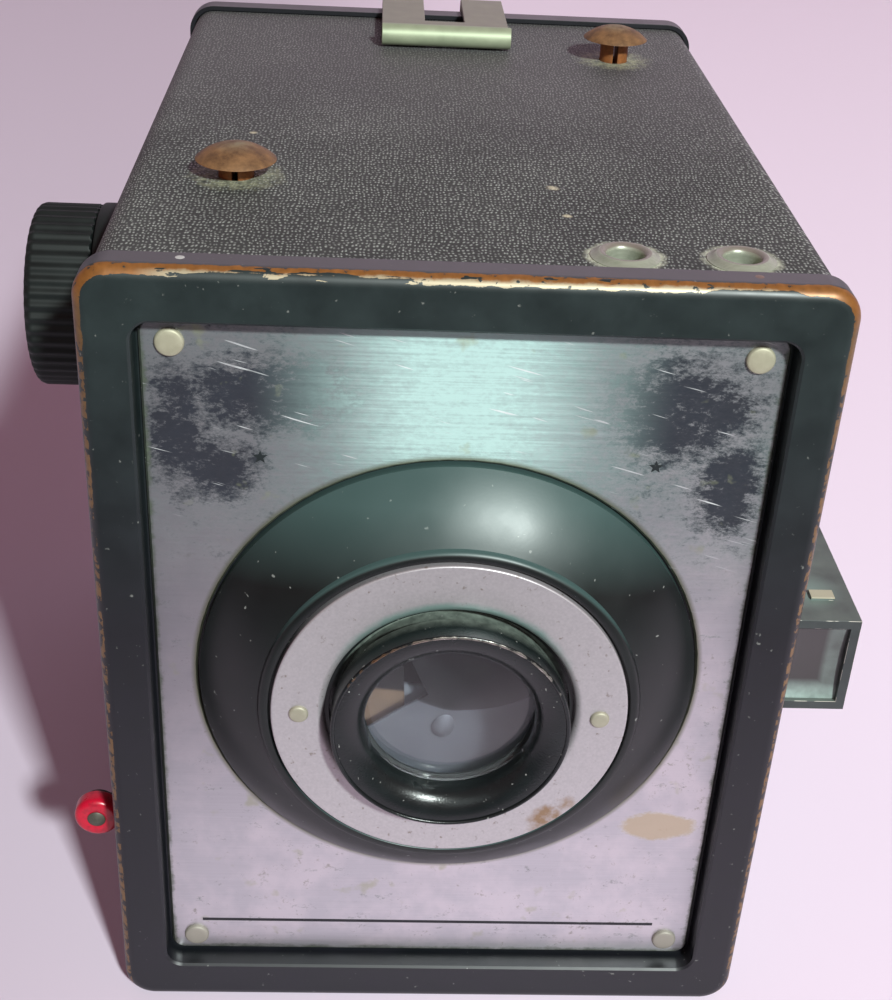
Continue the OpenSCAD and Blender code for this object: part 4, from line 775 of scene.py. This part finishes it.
satin_enamel, add, place, haze, tone = mottled_finish("satin_black_enamel", 7, 6, "#0a0e0e", "#151b1b")
# Sprayed enamel rubbed to a satin: soft broad gloss, a faint fine grain and stray dust.
fine = add("TexNoise", [place, 1 / (0.35 * MM), 3])
tone = specked(add, place, tone, 0.8, 1, (0.76, 0.8), 0.6, "#9a9c98")
facing = add("SeparateXYZ", [add("NewGeometry", out="Normal")]).node.outputs
# Dust and painted sheen: up-facing slopes are coloured teal-grey.
dust_and_painted_sheen = add("MapRange", {"Value": facing["Z"], "From": (0.35, 0.6), "To": (0, 0.45)})
tone = add("Mix", [dust_and_painted_sheen, tone, "#557270"])
gloss = add("MapRange", {"Value": haze, "From": (0.3, 0.7), "To": (0.32, 0.42)})
bump = add("Bump", {"Height": fine, "Strength": 0.12, "Distance": 0.02 * MM})
shader = add("BsdfPrincipled", {"Base Color": tone, "Roughness": gloss, "Normal": bump})
add("OutputMaterial", {"Surface": shader})
settle(bm, "lens_surround", satin_enamel)

# Trim ring: a flat ring of matt aluminium with a turned-in inner edge, riveted to the
# surround at both sides.
ring_low, ring_high = corners("trim_ring")
ring_r = ring_high[0]
ring_t = ring_high[1] - ring_low[1]
ring_bore = 14.6
ring_round = 1.0
ring_edge = 0.25
ring_grime_and_reflection = (15.3, 16.4)
ring_stain = (12.8, 37.9, 4.4, 2.0, 43, 0.6)
ring_axis = (0, ring_high[1], lens_z)
profile = [(ring_r, 0)]
profile += arc((ring_r - ring_edge, ring_t - ring_edge), ring_edge, 0, 90, 4)
profile += arc((ring_bore + ring_round, ring_t - ring_round), ring_round, 90, 180, 8)
profile += [(ring_bore, 0)]
bm = spun(profile, ring_axis, forward, rightward, lens_steps)

matt_ring, add, place, grit, tone = mottled_finish("matt_aluminium", 0.3, 3, "#a8a2a7", "#c2bcc0")
# Blasted and anodised: an even dull grain and brown pits; the upper inner edge is teal-green,
# grime and a painted reflection in one.
stains = add("TexNoise", [place, 1 / (3 * MM), 6, 0.65])
tone = specked(add, place, tone, 0.8, 3, (0.66, 0.74), 0.6, "#6d5c4c")
hub = (0.0, ring_low[1] * MM, lens_z * MM)
radius = add("VectorMath", [place, hub], operation="DISTANCE", out="Value")
# Grime and painted reflection: teal-green on the upper inner edge.
inner = add("MapRange", {"Value": radius, "From": [r * MM for r in ring_grime_and_reflection], "To": (1, 0)})
parts = add("SeparateXYZ", [place]).node.outputs
upward = add("MapRange", {"Value": parts["Z"], "From": ((lens_z + 5) * MM, (lens_z + 13) * MM)})
inner = add("Math", [inner, upward], operation="MULTIPLY")
inner = add("Math", [inner, stains], operation="MULTIPLY")
inner = add("MapRange", {"Value": inner, "From": (0.1, 0.45), "To": (0, 0.85)})
tone = add("Mix", [inner, tone, "#7d9c96"])
brown = nearness(add, place, *ring_stain)
brown = add("Math", [brown, stains], operation="MULTIPLY")
brown = add("MapRange", {"Value": brown, "From": (0.3, 0.5), "To": (0, 0.85)})
tone = add("Mix", [brown, tone, "#8a6a44"])
bump = add("Bump", {"Height": grit, "Strength": 0.25, "Distance": 0.02 * MM})
shader = add("BsdfPrincipled", {"Base Color": tone, "Metallic": 0.5, "Roughness": 0.42, "Normal": bump})
add("OutputMaterial", {"Surface": shader})
settle(bm, "trim_ring", matt_ring)

small_low, small_high = corners("trim_ring_rivets")
small_r = 1.15
small_length = 2.5
rivets = [
    rivet((x, ring_low[1], lens_z), small_r, ring_low[1] - small_low[1], small_length)
    for x in (small_low[0] + small_r, small_high[0] - small_r)]
settle(joined(rivets), "trim_ring_rivets", yellow_nickel)

# Lens hood: a short turned barrel in gloss black enamel, with a hollow throat that narrows
# to the lens. Its rim is rubbed to bright metal, most of all at the top.
hood_low, hood_high = corners("lens_hood")
rim_y = hood_low[1]
hood_len = hood_high[1] - hood_low[1]
barrel_r = 13.8
neck_r = 13.2
flange_r = hood_high[0]
flange_t = 0.8
neck_h = hood_len - (ring_low[1] - rim_y)
mouth_r = 9.9
lens_room = 10.6
funnel = 2.9
land = 0.4
rim_lip = 0.25
throat_steps = 12
rub_depth = 0.45
rub_mean = 0.64
rub_swing = 0.36
dust_from = 0.6
dust_full = neck_h + 2
dust_r = mouth_r + 3
hood_axis = (0, hood_high[1], lens_z)
throat_h = hood_len - funnel
profile = [(lens_room, 0), (flange_r, 0), (flange_r, flange_t), (neck_r, flange_t)]
profile += [(neck_r, neck_h), (barrel_r, neck_h)]
profile += arc((barrel_r - rim_lip, hood_len - rim_lip), rim_lip, 0, 180, 8)
span_r = barrel_r - 2 * rim_lip - mouth_r
for i in range(1, throat_steps + 1):
    a = math.radians(90 - 90 * i / throat_steps)
    profile.append((mouth_r + span_r * (1 - math.cos(a)), throat_h + (funnel - rim_lip) * math.sin(a)))
profile += [(mouth_r, throat_h - land), (lens_room, throat_h - land)]
bm = spun(profile, hood_axis, forward, rightward, lens_steps)
wear = bm.verts.layers.float.new("wear")
for v in bm.verts:
    away = max(0.0, v.co.y - rim_y)
    upward = (v.co.z - lens_z) / barrel_r
    v[wear] = max(0.0, 1 - away / rub_depth) * (rub_mean + rub_swing * upward)
    # Negative wear marks the barrel's top for dust and painted sheen.
    if v.co.y > rim_y + dust_from and math.hypot(v.co.x, v.co.z - lens_z) > dust_r:
        v[wear] = -max(0.0, upward) * min(1.0, away / dust_full)

hood_enamel, add, place = new_finish("worn_gloss_enamel")
# Gloss enamel with a fine orange peel; the rim's edge is down to brassy metal in places.
rubbed = add("Attribute", out="Fac", attribute_name="wear")
ragged = add("TexNoise", [place, 1 / (1.1 * MM), 5])
reached = add("Math", [rubbed, ragged], operation="ADD")
bare = add("MapRange", {"Value": reached, "From": (1.32, 1.5)})
peel = add("TexNoise", [place, 1 / (0.25 * MM), 2])
haze = add("TexNoise", [place, 1 / (4 * MM), 5])
tone = add("Mix", [haze, "#080c0d", "#171e1f"])
# Dust and painted sheen: the barrel's top is coloured pale grey-green.
dust_and_painted_sheen = add("MapRange", {"Value": rubbed, "From": (-1, -0.1), "To": (1, 0)})
dust_and_painted_sheen = add("Math", [dust_and_painted_sheen, ragged], operation="MULTIPLY")
tone = add("Mix", [dust_and_painted_sheen, tone, "#a3b0a5"])
parts = add("SeparateXYZ", [place]).node.outputs
plated = add("MapRange", {"Value": parts["X"], "From": (-8 * MM, -1 * MM)})
bright = add("Mix", [plated, "#8a6a50", "#cac7c1"])
metal = add("Mix", [ragged, "#5e4638", bright])
tone = add("Mix", [bare, tone, metal])
tone = specked(add, place, tone, 0.6, 1, (0.74, 0.79), 0.7, "#a9aaa6")
metallic = add("Math", [bare, 0.85], operation="MULTIPLY")
gloss = add("MapRange", {"Value": haze, "To": (0.16, 0.34)})
bump = add("Bump", {"Height": peel, "Strength": 0.7, "Distance": 0.03 * MM})
shader = add(
    "BsdfPrincipled", {"Base Color": tone, "Metallic": metallic, "Roughness": gloss, "Normal": bump})
add("OutputMaterial", {"Surface": shader})
settle(bm, "lens_hood", hood_enamel)

# Taking lens: a single ground meniscus of clear glass, dropped into the hood from behind and
# held by a spring ring. Dust lies on its front.
glass_low, glass_high = corners("taking_lens")
glass_r = glass_high[0]
glass_t = glass_high[1] - glass_low[1]
front_bulge = 0.9
rear_hollow = 0.45
glass_edge = 0.1
glass_steps = 12
glass_axis = (0, glass_high[1], lens_z)
shares = [i / glass_steps for i in range(glass_steps + 1)]
profile = [(glass_r * t, rear_hollow * (1 - t) ** 2) for t in shares]
profile += [(glass_r, glass_edge)]
profile += [(glass_r * t, glass_t - front_bulge * t**2) for t in reversed(shares)]
bm = spun(profile, glass_axis, forward, rightward, closed=False)

clear_glass, add, place = new_finish("crown_glass")
# Polished glass with a thin film of dust and some bright specks.
dust = add("TexNoise", [place, 1 / (0.7 * MM), 2])
speck = add("MapRange", {"Value": dust, "From": (0.76, 0.8), "To": (0, 0.7)})
film = add("TexNoise", [place, 1 / (5 * MM), 4])
filmed = add("MapRange", {"Value": film, "From": (0.35, 0.8), "To": (0, 0.02)})
cover = add("Math", [speck, filmed], operation="MAXIMUM")
glass = add(
    "BsdfPrincipled", {"Base Color": "#f2f4f6", "Roughness": 0.03, "IOR": 1.52, "Transmission Weight": 1.0})
powder = add("BsdfPrincipled", {"Base Color": "#b7b4b6", "Roughness": 0.9})
clear = add("BsdfTransparent", {"Color": "#f2f4f6"})
shadowing = add("LightPath", out="Is Shadow Ray")
glass = add("MixShader", [shadowing, glass, clear])
shader = add("MixShader", [cover, glass, powder])
add("OutputMaterial", {"Surface": shader})
settle(bm, "taking_lens", clear_glass)
rounded_copy("lens_retainer", matt_black, edge=0.08)

# Shutter: a plate of zinced steel on four brass posts carries the blade, which turns on a
# headed stud, and a spring-loaded lever that reaches out through the left side.
shutter_steel, add, place, cloud, tone = mottled_finish("dull_zinc_steel", 3.5, 5, "#7a7d86", "#9a9da6")
# Zinc-plated sheet: grey with a lavender cast and small dark spots; its upper part is painted
# near black, a painted shade.
tone = specked(add, place, tone, 0.6, 2, (0.68, 0.76), 0.5, "#4a4a50")
parts = add("SeparateXYZ", [place]).node.outputs
# Painted shade: near black above the lens's middle.
painted_shade_above = add("MapRange", {"Value": parts["Z"], "From": (45.5 * MM, 46 * MM)})
tone = add("Mix", [painted_shade_above, tone, "#1a1718"])
gloss = add("MapRange", {"Value": cloud, "To": (0.4, 0.6)})
shader = add("BsdfPrincipled", {"Base Color": tone, "Metallic": 0.5, "Roughness": gloss})
add("OutputMaterial", {"Surface": shader})

satin_steel, add, place = new_finish("satin_steel")
# Rolled steel has a fine grain along the sheet, with faint brown bloom in places.
stretch = add("Mapping", {"Vector": place, "Scale": (0.08, 1, 1)})
lines = add("TexNoise", [stretch, 1 / (0.15 * MM), 3])
tone = add("Mix", [lines, "#8b8b92", "#b1b1b6"])
tone = specked(add, place, tone, 4, 5, (0.55, 0.8), 0.5, "#6e6258")
gloss = add("MapRange", {"Value": lines, "To": (0.28, 0.48)})
shader = add("BsdfPrincipled", {"Base Color": tone, "Metallic": 0.9, "Roughness": gloss})
add("OutputMaterial", {"Surface": shader})

dull_brass, add, _, brown, tone = mottled_finish("dull_brass", 2, 5, "#8a6844", "#c39a6b")
# Turned or stamped brass that has browned in a closed case.
gloss = add("MapRange", {"Value": brown, "To": (0.35, 0.55)})
shader = add("BsdfPrincipled", {"Base Color": tone, "Metallic": 0.6, "Roughness": gloss})
add("OutputMaterial", {"Surface": shader})

fibre, add, _, felted, tone = mottled_finish("vulcanised_fibre", 0.6, 5, "#3a2318", "#6a4632")
# Pressed paper fibre: red-brown, matt, with a felted fleck.
bump = add("Bump", {"Height": felted, "Strength": 0.3, "Distance": 0.03 * MM})
shader = add("BsdfPrincipled", {"Base Color": tone, "Roughness": 0.75, "Normal": bump})
add("OutputMaterial", {"Surface": shader})

blade_finish, add, place, _, tone = mottled_finish(
    "blade_steel_painted_shade", 3.5, 5, "#55555c", "#6b6c74")
# Grey steel with a lavender cast below; an arc above is painted near black, a painted shade.
painted_shade_centre = (2.6 * MM, corners("shutter_blade")[0][1] * MM, 58.5 * MM)
# Painted shade: near black inside an arc round a point above the lens.
far = add("VectorMath", [place, painted_shade_centre], operation="DISTANCE", out="Value")
black = add("MapRange", {"Value": far, "From": (13.2 * MM, 13.5 * MM), "To": (0.93, 0)})
tone = add("Mix", [black, tone, "#100d0f"])
metallic = add("MapRange", {"Value": black, "To": (0.4, 0)})
shader = add(
    "BsdfPrincipled",
    {"Base Color": tone, "Metallic": metallic, "Roughness": 0.55, "Specular IOR Level": 0.2})
add("OutputMaterial", {"Surface": shader})
for node in ("shutter_blade", "blade_pivot"):
    rounded_copy(node, blade_finish, edge=0.08)
rounded_copy("shutter_board", shutter_steel, edge=0.08)
for node in ("shutter_screws", "drive_pin", "lever_pivot", "lever_spring"):
    rounded_copy(node, satin_steel, edge=0.06)
rounded_copy("shutter_posts", dull_brass, edge=0.06)

contact_brass, add, place, _, tone = mottled_finish("contact_brass_painted_shade", 2, 5, "#655244", "#836a57")
# Tan spring brass, bare at its lower end, with its upper part painted near black, a painted shade.
parts = add("SeparateXYZ", [place]).node.outputs
painted_shade_top = add("MapRange", {"Value": parts["Z"], "From": (45.2 * MM, 45.6 * MM)})
tone = add("Mix", [painted_shade_top, tone, "#1a1718"])
shader = add("BsdfPrincipled", {"Base Color": tone, "Metallic": 0.2, "Roughness": 0.55})
add("OutputMaterial", {"Surface": shader})
rounded_copy("flash_contact", contact_brass, edge=0.06)
rounded_copy("contact_insulator", fibre, edge=0.06)
rounded_copy("release_lever", matt_black, edge=0.1)

# Release button: a red moulded collar at the lever's end, held by a steel rivet that has
# browned with age.
button_low, button_high = corners("lever_button")
button_r = (button_high[0] - button_low[0]) / 2
button_t = button_high[1] - button_low[1]
button_axis = ((button_low[0] + button_high[0]) / 2, button_high[1], (button_low[2] + button_high[2]) / 2)
button_bore = 0.85
button_edge = 0.3
button_round = 0.8
mouth_wide = 0.5
mouth_deep = 0.25
button_steps = 64
profile = [(button_bore, 0)]
profile += arc((button_r - button_edge, button_edge), button_edge, -90, 0, 4)
profile += arc((button_r - button_round, button_t - button_round), button_round, 0, 90, 8)
profile += [(button_bore + mouth_wide, button_t), (button_bore, button_t - mouth_deep)]
bm = spun(profile, button_axis, forward, rightward, button_steps)

red_plastic, add, place = new_finish("red_celluloid")
# Moulded celluloid, glossy and a little translucent, with dirt rubbed into its face.
dirt = add("TexNoise", [place, 1 / (0.9 * MM), 4])
dirty = add("MapRange", {"Value": dirt, "From": (0.45, 0.75), "To": (0, 0.6)})
tone = add("Mix", [dirty, "#b80f2c", "#4d1620"])
gloss = add("MapRange", {"Value": dirt, "To": (0.2, 0.45)})
shader = add(
    "BsdfPrincipled",
    {"Base Color": tone, "Roughness": gloss, "Subsurface Weight": 0.08,
     "Subsurface Radius": (2 * MM, 0.4 * MM, 0.4 * MM)})
add("OutputMaterial", {"Surface": shader})
settle(bm, "lever_button", red_plastic)

dark_steel, add, _, spots, tone = mottled_finish("browned_rivet_steel", 0.7, 5, "#35332e", "#636055")
# Steel browned by age: dark grey-green, nearly matt, with lighter worn spots.
gloss = add("MapRange", {"Value": spots, "To": (0.4, 0.65)})
shader = add("BsdfPrincipled", {"Base Color": tone, "Metallic": 0.4, "Roughness": gloss})
add("OutputMaterial", {"Surface": shader})
rounded_copy("lever_rivet", dark_steel, edge=0.06)

# Winder: a smooth collar seated in the body's left side, and a moulded knob with rounded
# flutes on a steel shaft that keys into the take-up spool.
knob_low, knob_high = corners("winding_knob")
knob_r = (knob_high[2] - knob_low[2]) / 2
knob_len = knob_high[0] - knob_low[0]
knob_centre = (knob_high[0], (knob_low[1] + knob_high[1]) / 2, (knob_low[2] + knob_high[2]) / 2)
flutes = 46
flute_depth = 0.26
flute_points = 8
flute_angle = 60
knob_round = 1.0
knob_edge = 0.3
dish_rim = 0.6
dish_edge = 1.4
dish_depth = 0.35
leftward = Vector((-1, 0, 0))

bm = bmesh.new()
circle = bmesh.ops.create_circle(bm, segments=flutes * flute_points, radius=1)["verts"]
bmesh.ops.rotate(bm, matrix=Matrix.Rotation(-math.pi / 2, 3, "Y"), verts=circle)
# Each section has a radius, a height and a share of the flutes' depth, which fade at both ends.
face_r = knob_r - knob_round
sections = [(knob_r - knob_edge, 0, 0.2), (knob_r, knob_edge, 1)]
for radius, h in arc((face_r, knob_len - knob_round), knob_round, 0, 90, 9):
    sections.append((radius, h, 1 if h < knob_len - 0.2 * knob_round else 0.5))
sections += [(face_r - dish_rim, knob_len, 0), (face_r - dish_edge, knob_len - dish_depth, 0)]
rings = [circle]
for _ in sections[1:]:
    grown = bmesh.ops.extrude_edge_only(bm, edges=loop_edges(rings[-1]))["geom"]
    rings.append([g for g in grown if isinstance(g, bmesh.types.BMVert)])
for ring_verts, (radius, h, depth) in zip(rings, sections):
    for v in ring_verts:
        angle = math.atan2(v.co.z, v.co.y)
        groove = flute_depth * depth * (0.5 - 0.5 * math.cos(flutes * angle))
        spoke = Vector((0, math.cos(angle), math.sin(angle)))
        v.co = Vector(knob_centre) + leftward * h + spoke * (radius - groove)
for ring_verts in (rings[0], rings[-1]):
    bmesh.ops.contextual_create(bm, geom=loop_edges(ring_verts))
bmesh.ops.recalc_face_normals(bm, faces=bm.faces)

bakelite, add, place, handled, tone = mottled_finish("black_bakelite", 3, 5, "#0c1010", "#1c2221")
# Compression-moulded phenolic: deep black with a greenish sheen, duller where it is handled.
gloss = add("MapRange", {"Value": handled, "To": (0.46, 0.62)})
grit = add("TexNoise", [place, 1 / (0.3 * MM), 2])
bump = add("Bump", {"Height": grit, "Strength": 0.15, "Distance": 0.02 * MM})
shader = add(
    "BsdfPrincipled", {"Base Color": tone, "Roughness": gloss, "Normal": bump, "Specular IOR Level": 0.3})
add("OutputMaterial", {"Surface": shader})
settle(bm, "winding_knob", bakelite, smooth_below=flute_angle)
rounded_copy("winder_collar", bakelite, edge=0.35, steps=4)
rounded_copy("winder_shaft", satin_steel, edge=0.15)
rounded_copy("ratchet_wheel", dull_brass, edge=0.08)
rounded_copy("pawl_spring", satin_steel, edge=0.08)

# Take-up spool: an empty roll-film spool of black lacquered sheet on a core, between the
# winder's key and a sprung pin.
spool_black, add, place = new_finish("lacquered_spool_sheet")
# Thin black lacquer on rolled sheet, rubbed to bare steel in small patches.
patches = add("TexNoise", [place, 1 / (2 * MM), 6])
rubbed = add("MapRange", {"Value": patches, "From": (0.6, 0.72), "To": (0, 0.7)})
tone = add("Mix", [rubbed, "#1e1c1b", "#7d7872"])
metallic = add("Math", [rubbed, 0.9], operation="MULTIPLY")
shader = add("BsdfPrincipled", {"Base Color": tone, "Metallic": metallic, "Roughness": 0.4})
add("OutputMaterial", {"Surface": shader})
rounded_copy("take_up_spool", spool_black, edge=0.2)

# Film carrier: a bent sheet-steel frame with a black light cone, which ends in the film gate.
# Steel rollers on pins lead the film round the gate's ends.
for node in ("film_carrier", "light_cone"):
    rounded_copy(node, matt_black, edge=0.12)
for node in ("upper_roller", "lower_roller", "roller_pins", "spool_pins", "pin_springs"):
    rounded_copy(node, satin_steel, edge=0.12)

# Strap studs: mushroom-headed studs with split stems, riveted through the top. They are
# plain steel and have rusted brown, with orange rust on the stems.
rust, add, place = new_finish("browned_stud_steel")
# Old rust polished by the strap: golden brown on the heads with a worn grey-green middle, and
# raw orange on the stems.
scale = add("TexNoise", [place, 1 / (1.6 * MM), 8, 0.7])
pits = add("TexNoise", [place, 1 / (0.5 * MM), 4])
scaled = add("MapRange", {"Value": scale, "From": (0.35, 0.68)})
tone = add("Mix", [scaled, "#5f452f", "#926c48"])
flat = add("Mapping", {"Vector": place, "Scale": (1, 1, 0)})
for x, y in stud_spots:
    far = add("VectorMath", [flat, (x * MM, y * MM, 0)], operation="DISTANCE", out="Value")
    middle = add("MapRange", {"Value": far, "From": (0.4 * MM, 2.8 * MM), "To": (0.9, 0)})
    middle = add("Math", [middle, scaled], operation="MULTIPLY", use_clamp=True)
    tone = add("Mix", [middle, tone, "#86836d"])
facing = add("SeparateXYZ", [add("NewGeometry", out="Normal")]).node.outputs
side = add("MapRange", {"Value": facing["Z"], "From": (0.1, 0.45), "To": (0.9, 0)})
raw = add("Mix", [pits, "#5c3a22", "#b06a34"])
tone = add("Mix", [side, tone, raw])
gloss = add("MapRange", {"Value": scale, "To": (0.42, 0.75)})
bump = add("Bump", {"Height": scale, "Strength": 0.5, "Distance": 0.08 * MM})
shader = add("BsdfPrincipled", {"Base Color": tone, "Metallic": 0.25, "Roughness": gloss, "Normal": bump})
add("OutputMaterial", {"Surface": shader})
rounded_copy("strap_studs", rust, edge=0.3, steps=4)

# Flash sockets: two rolled eyelets of nickelled brass in the top, set in fibre sleeves, for
# the pins of a flash unit. Green verdigris has crept out from them.
nickel, add, place = new_finish("dull_nickel")
# Nickel plating gone dull and grey-green, with verdigris in clouds and fine scratches.
cloud = add("TexNoise", [place, 1 / (4 * MM), 6])
stretch = add("Mapping", {"Vector": place, "Scale": (0.1, 1, 1)})
lines = add("TexNoise", [stretch, 1 / (0.25 * MM), 3])
tone = add("Mix", [lines, "#939887", "#b7bbaa"])
browned = add("Attribute", out="Fac", attribute_name="browned")
tone = add("Mix", [browned, tone, "#8b8079"])
green = add("MapRange", {"Value": cloud, "From": (0.52, 0.72), "To": (0, 0.65)})
tone = add("Mix", [green, tone, "#6f7f68"])
gloss = add("MapRange", {"Value": lines, "To": (0.26, 0.44)})
metallic = add("MapRange", {"Value": green, "To": (0.4, 0.2)})
bump = add("Bump", {"Height": lines, "Strength": 0.15, "Distance": 0.02 * MM})
shader = add(
    "BsdfPrincipled", {"Base Color": tone, "Metallic": metallic, "Roughness": gloss, "Normal": bump})
add("OutputMaterial", {"Surface": shader})

socket_low, socket_high = corners("flash_sockets")
socket_r = 2.0
tube_r = 2.4
socket_rim = 3.8
rim_edge = 0.1
rim_bevel = 0.25
rim_h = 0.18
roll_r = 0.7
roll_flat = 0.1
roll_h = socket_high[2] - cover_top
flank = (socket_r + 1.25, 0.62 * roll_h)
bottom_h = socket_low[2] - cover_top
brown_band = (socket_r + 0.1, socket_r + 0.8)
browning = 0.8
socket_steps = 64
upward = (0, 0, 1)
sockets = []
for x in (socket_low[0] + socket_rim, socket_high[0] - socket_rim):
    profile = [(socket_r, bottom_h), (tube_r, bottom_h), (tube_r, 0), (socket_rim, 0)]
    profile += [(socket_rim, rim_edge), (socket_rim - rim_bevel, rim_h), flank]
    profile += arc((socket_r + roll_r, roll_h - roll_r + roll_flat), roll_r - roll_flat, 60, 90, 4)
    profile += arc((socket_r + roll_r, roll_h - roll_r), roll_r, 100, 180, 8)
    centre = (x, socket_low[1] + socket_rim, cover_top)
    eyelet = spun(profile, centre, upward, rightward, socket_steps)
    browned = eyelet.verts.layers.float.new("browned")
    for v in eyelet.verts:
        away = math.hypot(v.co.x - x, v.co.y - centre[1])
        v[browned] = browning if brown_band[0] < away < brown_band[1] else 0.0
    sockets.append(eyelet)
settle(joined(sockets), "flash_sockets", nickel)
rounded_copy("socket_insulators", fibre, edge=0.1)

# Finder: a sheet-metal box screwed to the right side, in black enamel that is rubbed off
# along its front edge, with a ground glass at the front and a plain one at the eye.
finder_top = corners("finder_housing")[1][2]
finder_black, add, place = new_finish("finder_enamel")
# Thin uneven enamel, grey with dust; the folded edges show bright metal in broken lines.
rubbed = add("Attribute", out="Fac", attribute_name="wear")
ragged = add("TexNoise", [place, 1 / (1.4 * MM), 5])
reached = add("Math", [rubbed, ragged], operation="ADD")
bare = add("MapRange", {"Value": reached, "From": (1.3, 1.36)})
dust = add("TexNoise", [place, 1 / (4 * MM), 6])
tone = add("Mix", [dust, "#1d2022", "#4a5050"])
facing = add("SeparateXYZ", [add("NewGeometry", out="Normal")]).node.outputs
# Dust and painted sheen: up-facing faces are coloured pale teal-grey.
dust_and_painted_sheen = add("MapRange", {"Value": facing["Z"], "From": (0.6, 1), "To": (0, 0.5)})
dust_and_painted_sheen = add("Math", [dust_and_painted_sheen, dust], operation="MULTIPLY", use_clamp=True)
tone = add("Mix", [dust_and_painted_sheen, tone, "#8d998f"])
tab_at = (45.7 * MM, -40.8 * MM, finder_top * MM)
far = add("VectorMath", [place, tab_at], operation="DISTANCE", out="Value")
rubbed_round = add("MapRange", {"Value": far, "From": (1.0 * MM, 4.5 * MM), "To": (0.65, 0)})
tone = add("Mix", [rubbed_round, tone, "#7f938c"])
parts = add("SeparateXYZ", [place]).node.outputs
tab = add(
    "MapRange",
    {"Value": parts["Z"], "From": ((finder_top - 0.2) * MM, (finder_top - 0.1) * MM), "To": (0, 0.85)})
tone = add("Mix", [tab, tone, "#bdb39a"])
tone = add("Mix", [bare, tone, "#b9b5ab"])
metallic = add("Math", [bare, 0.8], operation="MULTIPLY")
gloss = add("MapRange", {"Value": dust, "To": (0.32, 0.55)})
bump = add("Bump", {"Height": ragged, "Strength": 0.12, "Distance": 0.03 * MM})
shader = add(
    "BsdfPrincipled", {"Base Color": tone, "Metallic": metallic, "Roughness": gloss, "Normal": bump})
add("OutputMaterial", {"Surface": shader})
rounded_copy("finder_housing", finder_black, edge=0.22, worn=0.8, steps=3)

dim_glass, add, place = new_finish("ground_glass")
# Ground on its inner face and clouded by dust, with painted light: pale grey-green below and along
# its right edge, darker above.
cloud = add("TexNoise", [place, 1 / (2.5 * MM), 5])
parts = add("SeparateXYZ", [place]).node.outputs
pane_low, pane_high = corners("finder_front_glass")
pale_h = 0.26 * (pane_high[2] - pane_low[2])
# Painted light: paler below and along the right edge.
lower = add(
    "MapRange",
    {"Value": parts["Z"], "From": (pane_low[2] * MM, (pane_low[2] + pale_h) * MM), "To": (1.5, 0)})
beside = add(
    "MapRange",
    {"Value": parts["X"], "From": ((pane_high[0] - 3.0) * MM, (pane_high[0] - 2.2) * MM), "To": (0, 0.3)})
pale = add("Math", [lower, beside], operation="MAXIMUM")
pale = add("Math", [pale, cloud], operation="MULTIPLY", use_clamp=True)
tone = add("Mix", [pale, "#4a4547", "#cfe6df"])
shader = add(
    "BsdfPrincipled", {"Base Color": tone, "Roughness": 0.25, "IOR": 1.52, "Transmission Weight": 0.2})
add("OutputMaterial", {"Surface": shader})
rounded_copy("finder_front_glass", dim_glass, edge=0.1)
rounded_copy("finder_eye_glass", clear_glass, edge=0.1)
rounded_copy("finder_screws", satin_steel, edge=0.08)

# Back door: a pressed steel tray in black enamel on a knuckled hinge along its foot, with
# leatherette on its face and felt round its inside against stray light.
rounded_copy("back_door", enamel, edge=0.2)
rounded_copy("back_covering", leatherette, edge=0.12)
for node in ("body_hinge_leaf", "door_hinge_leaf", "hinge_pin"):
    rounded_copy(node, satin_steel, edge=0.1)

felt, add, _, tangle, tone = mottled_finish("black_felt", 0.25, 5, "#0e0e0f", "#2b2a2a")
# Pressed wool felt: matt black with short tangled fibres that catch a little light.
bump = add("Bump", {"Height": tangle, "Strength": 0.7, "Distance": 0.08 * MM})
shader = add("BsdfPrincipled", {"Base Color": tone, "Roughness": 0.95, "Normal": bump, "Sheen Weight": 0.3})
add("OutputMaterial", {"Surface": shader})
rounded_copy("light_seal", felt, edge=0.4, steps=3)

# Pressure plate: a black sheet that two bowed springs press on the film, with a hole in
# front of the red window through which the frame numbers are read.
rounded_copy("pressure_plate", matt_black, edge=0.2)
rounded_copy("pressure_springs", satin_steel, edge=0.08)

red_film, add, _, scuffs, tone = mottled_finish("red_celluloid_film", 0.8, 5, "#a3141c", "#c8282c")
# Dyed clear film: deep red, glossy, with fine scuffs that dull it.
gloss = add("MapRange", {"Value": scuffs, "To": (0.08, 0.3)})
shader = add(
    "BsdfPrincipled", {"Base Color": tone, "Roughness": gloss, "IOR": 1.49, "Transmission Weight": 0.7})
add("OutputMaterial", {"Surface": shader})
rounded_copy("red_window", red_film, edge=0.12)
rounded_copy("window_ring", nickel, edge=0.18, steps=3)

# Latch: a nickelled steel strap bent over the door's top edge, rolled at its nose for the
# finger and slotted in the middle, on a pin through a bracket on the door.
rounded_copy("latch_bracket", nickel, edge=0.1)
nose_length = 4.5
nose_end = corners("latch")[0][1] + nose_length
latch_nickel, add, place, cloud, tone = mottled_finish("warm_dull_nickel", 2.5, 6, "#807e72", "#a09d8f")
# Thick nickel on steel, satin and warm grey; the rolled nose is painted pale green, a painted
# reflection.
parts = add("SeparateXYZ", [place]).node.outputs
# Painted reflection: the nose's colour turns pale green.
nose = add("MapRange", {"Value": parts["Y"], "From": ((nose_end - 1) * MM, nose_end * MM), "To": (1, 0)})
green = add("Mix", [cloud, "#8b967c", "#b5bfa2"])
tone = add("Mix", [nose, tone, green])
gloss = add("MapRange", {"Value": cloud, "To": (0.42, 0.58)})
shader = add("BsdfPrincipled", {"Base Color": tone, "Metallic": 0.4, "Roughness": gloss})
add("OutputMaterial", {"Surface": shader})
rounded_copy("latch", latch_nickel, edge=0.16, steps=3)
rounded_copy("latch_pin", satin_steel, edge=0.12)
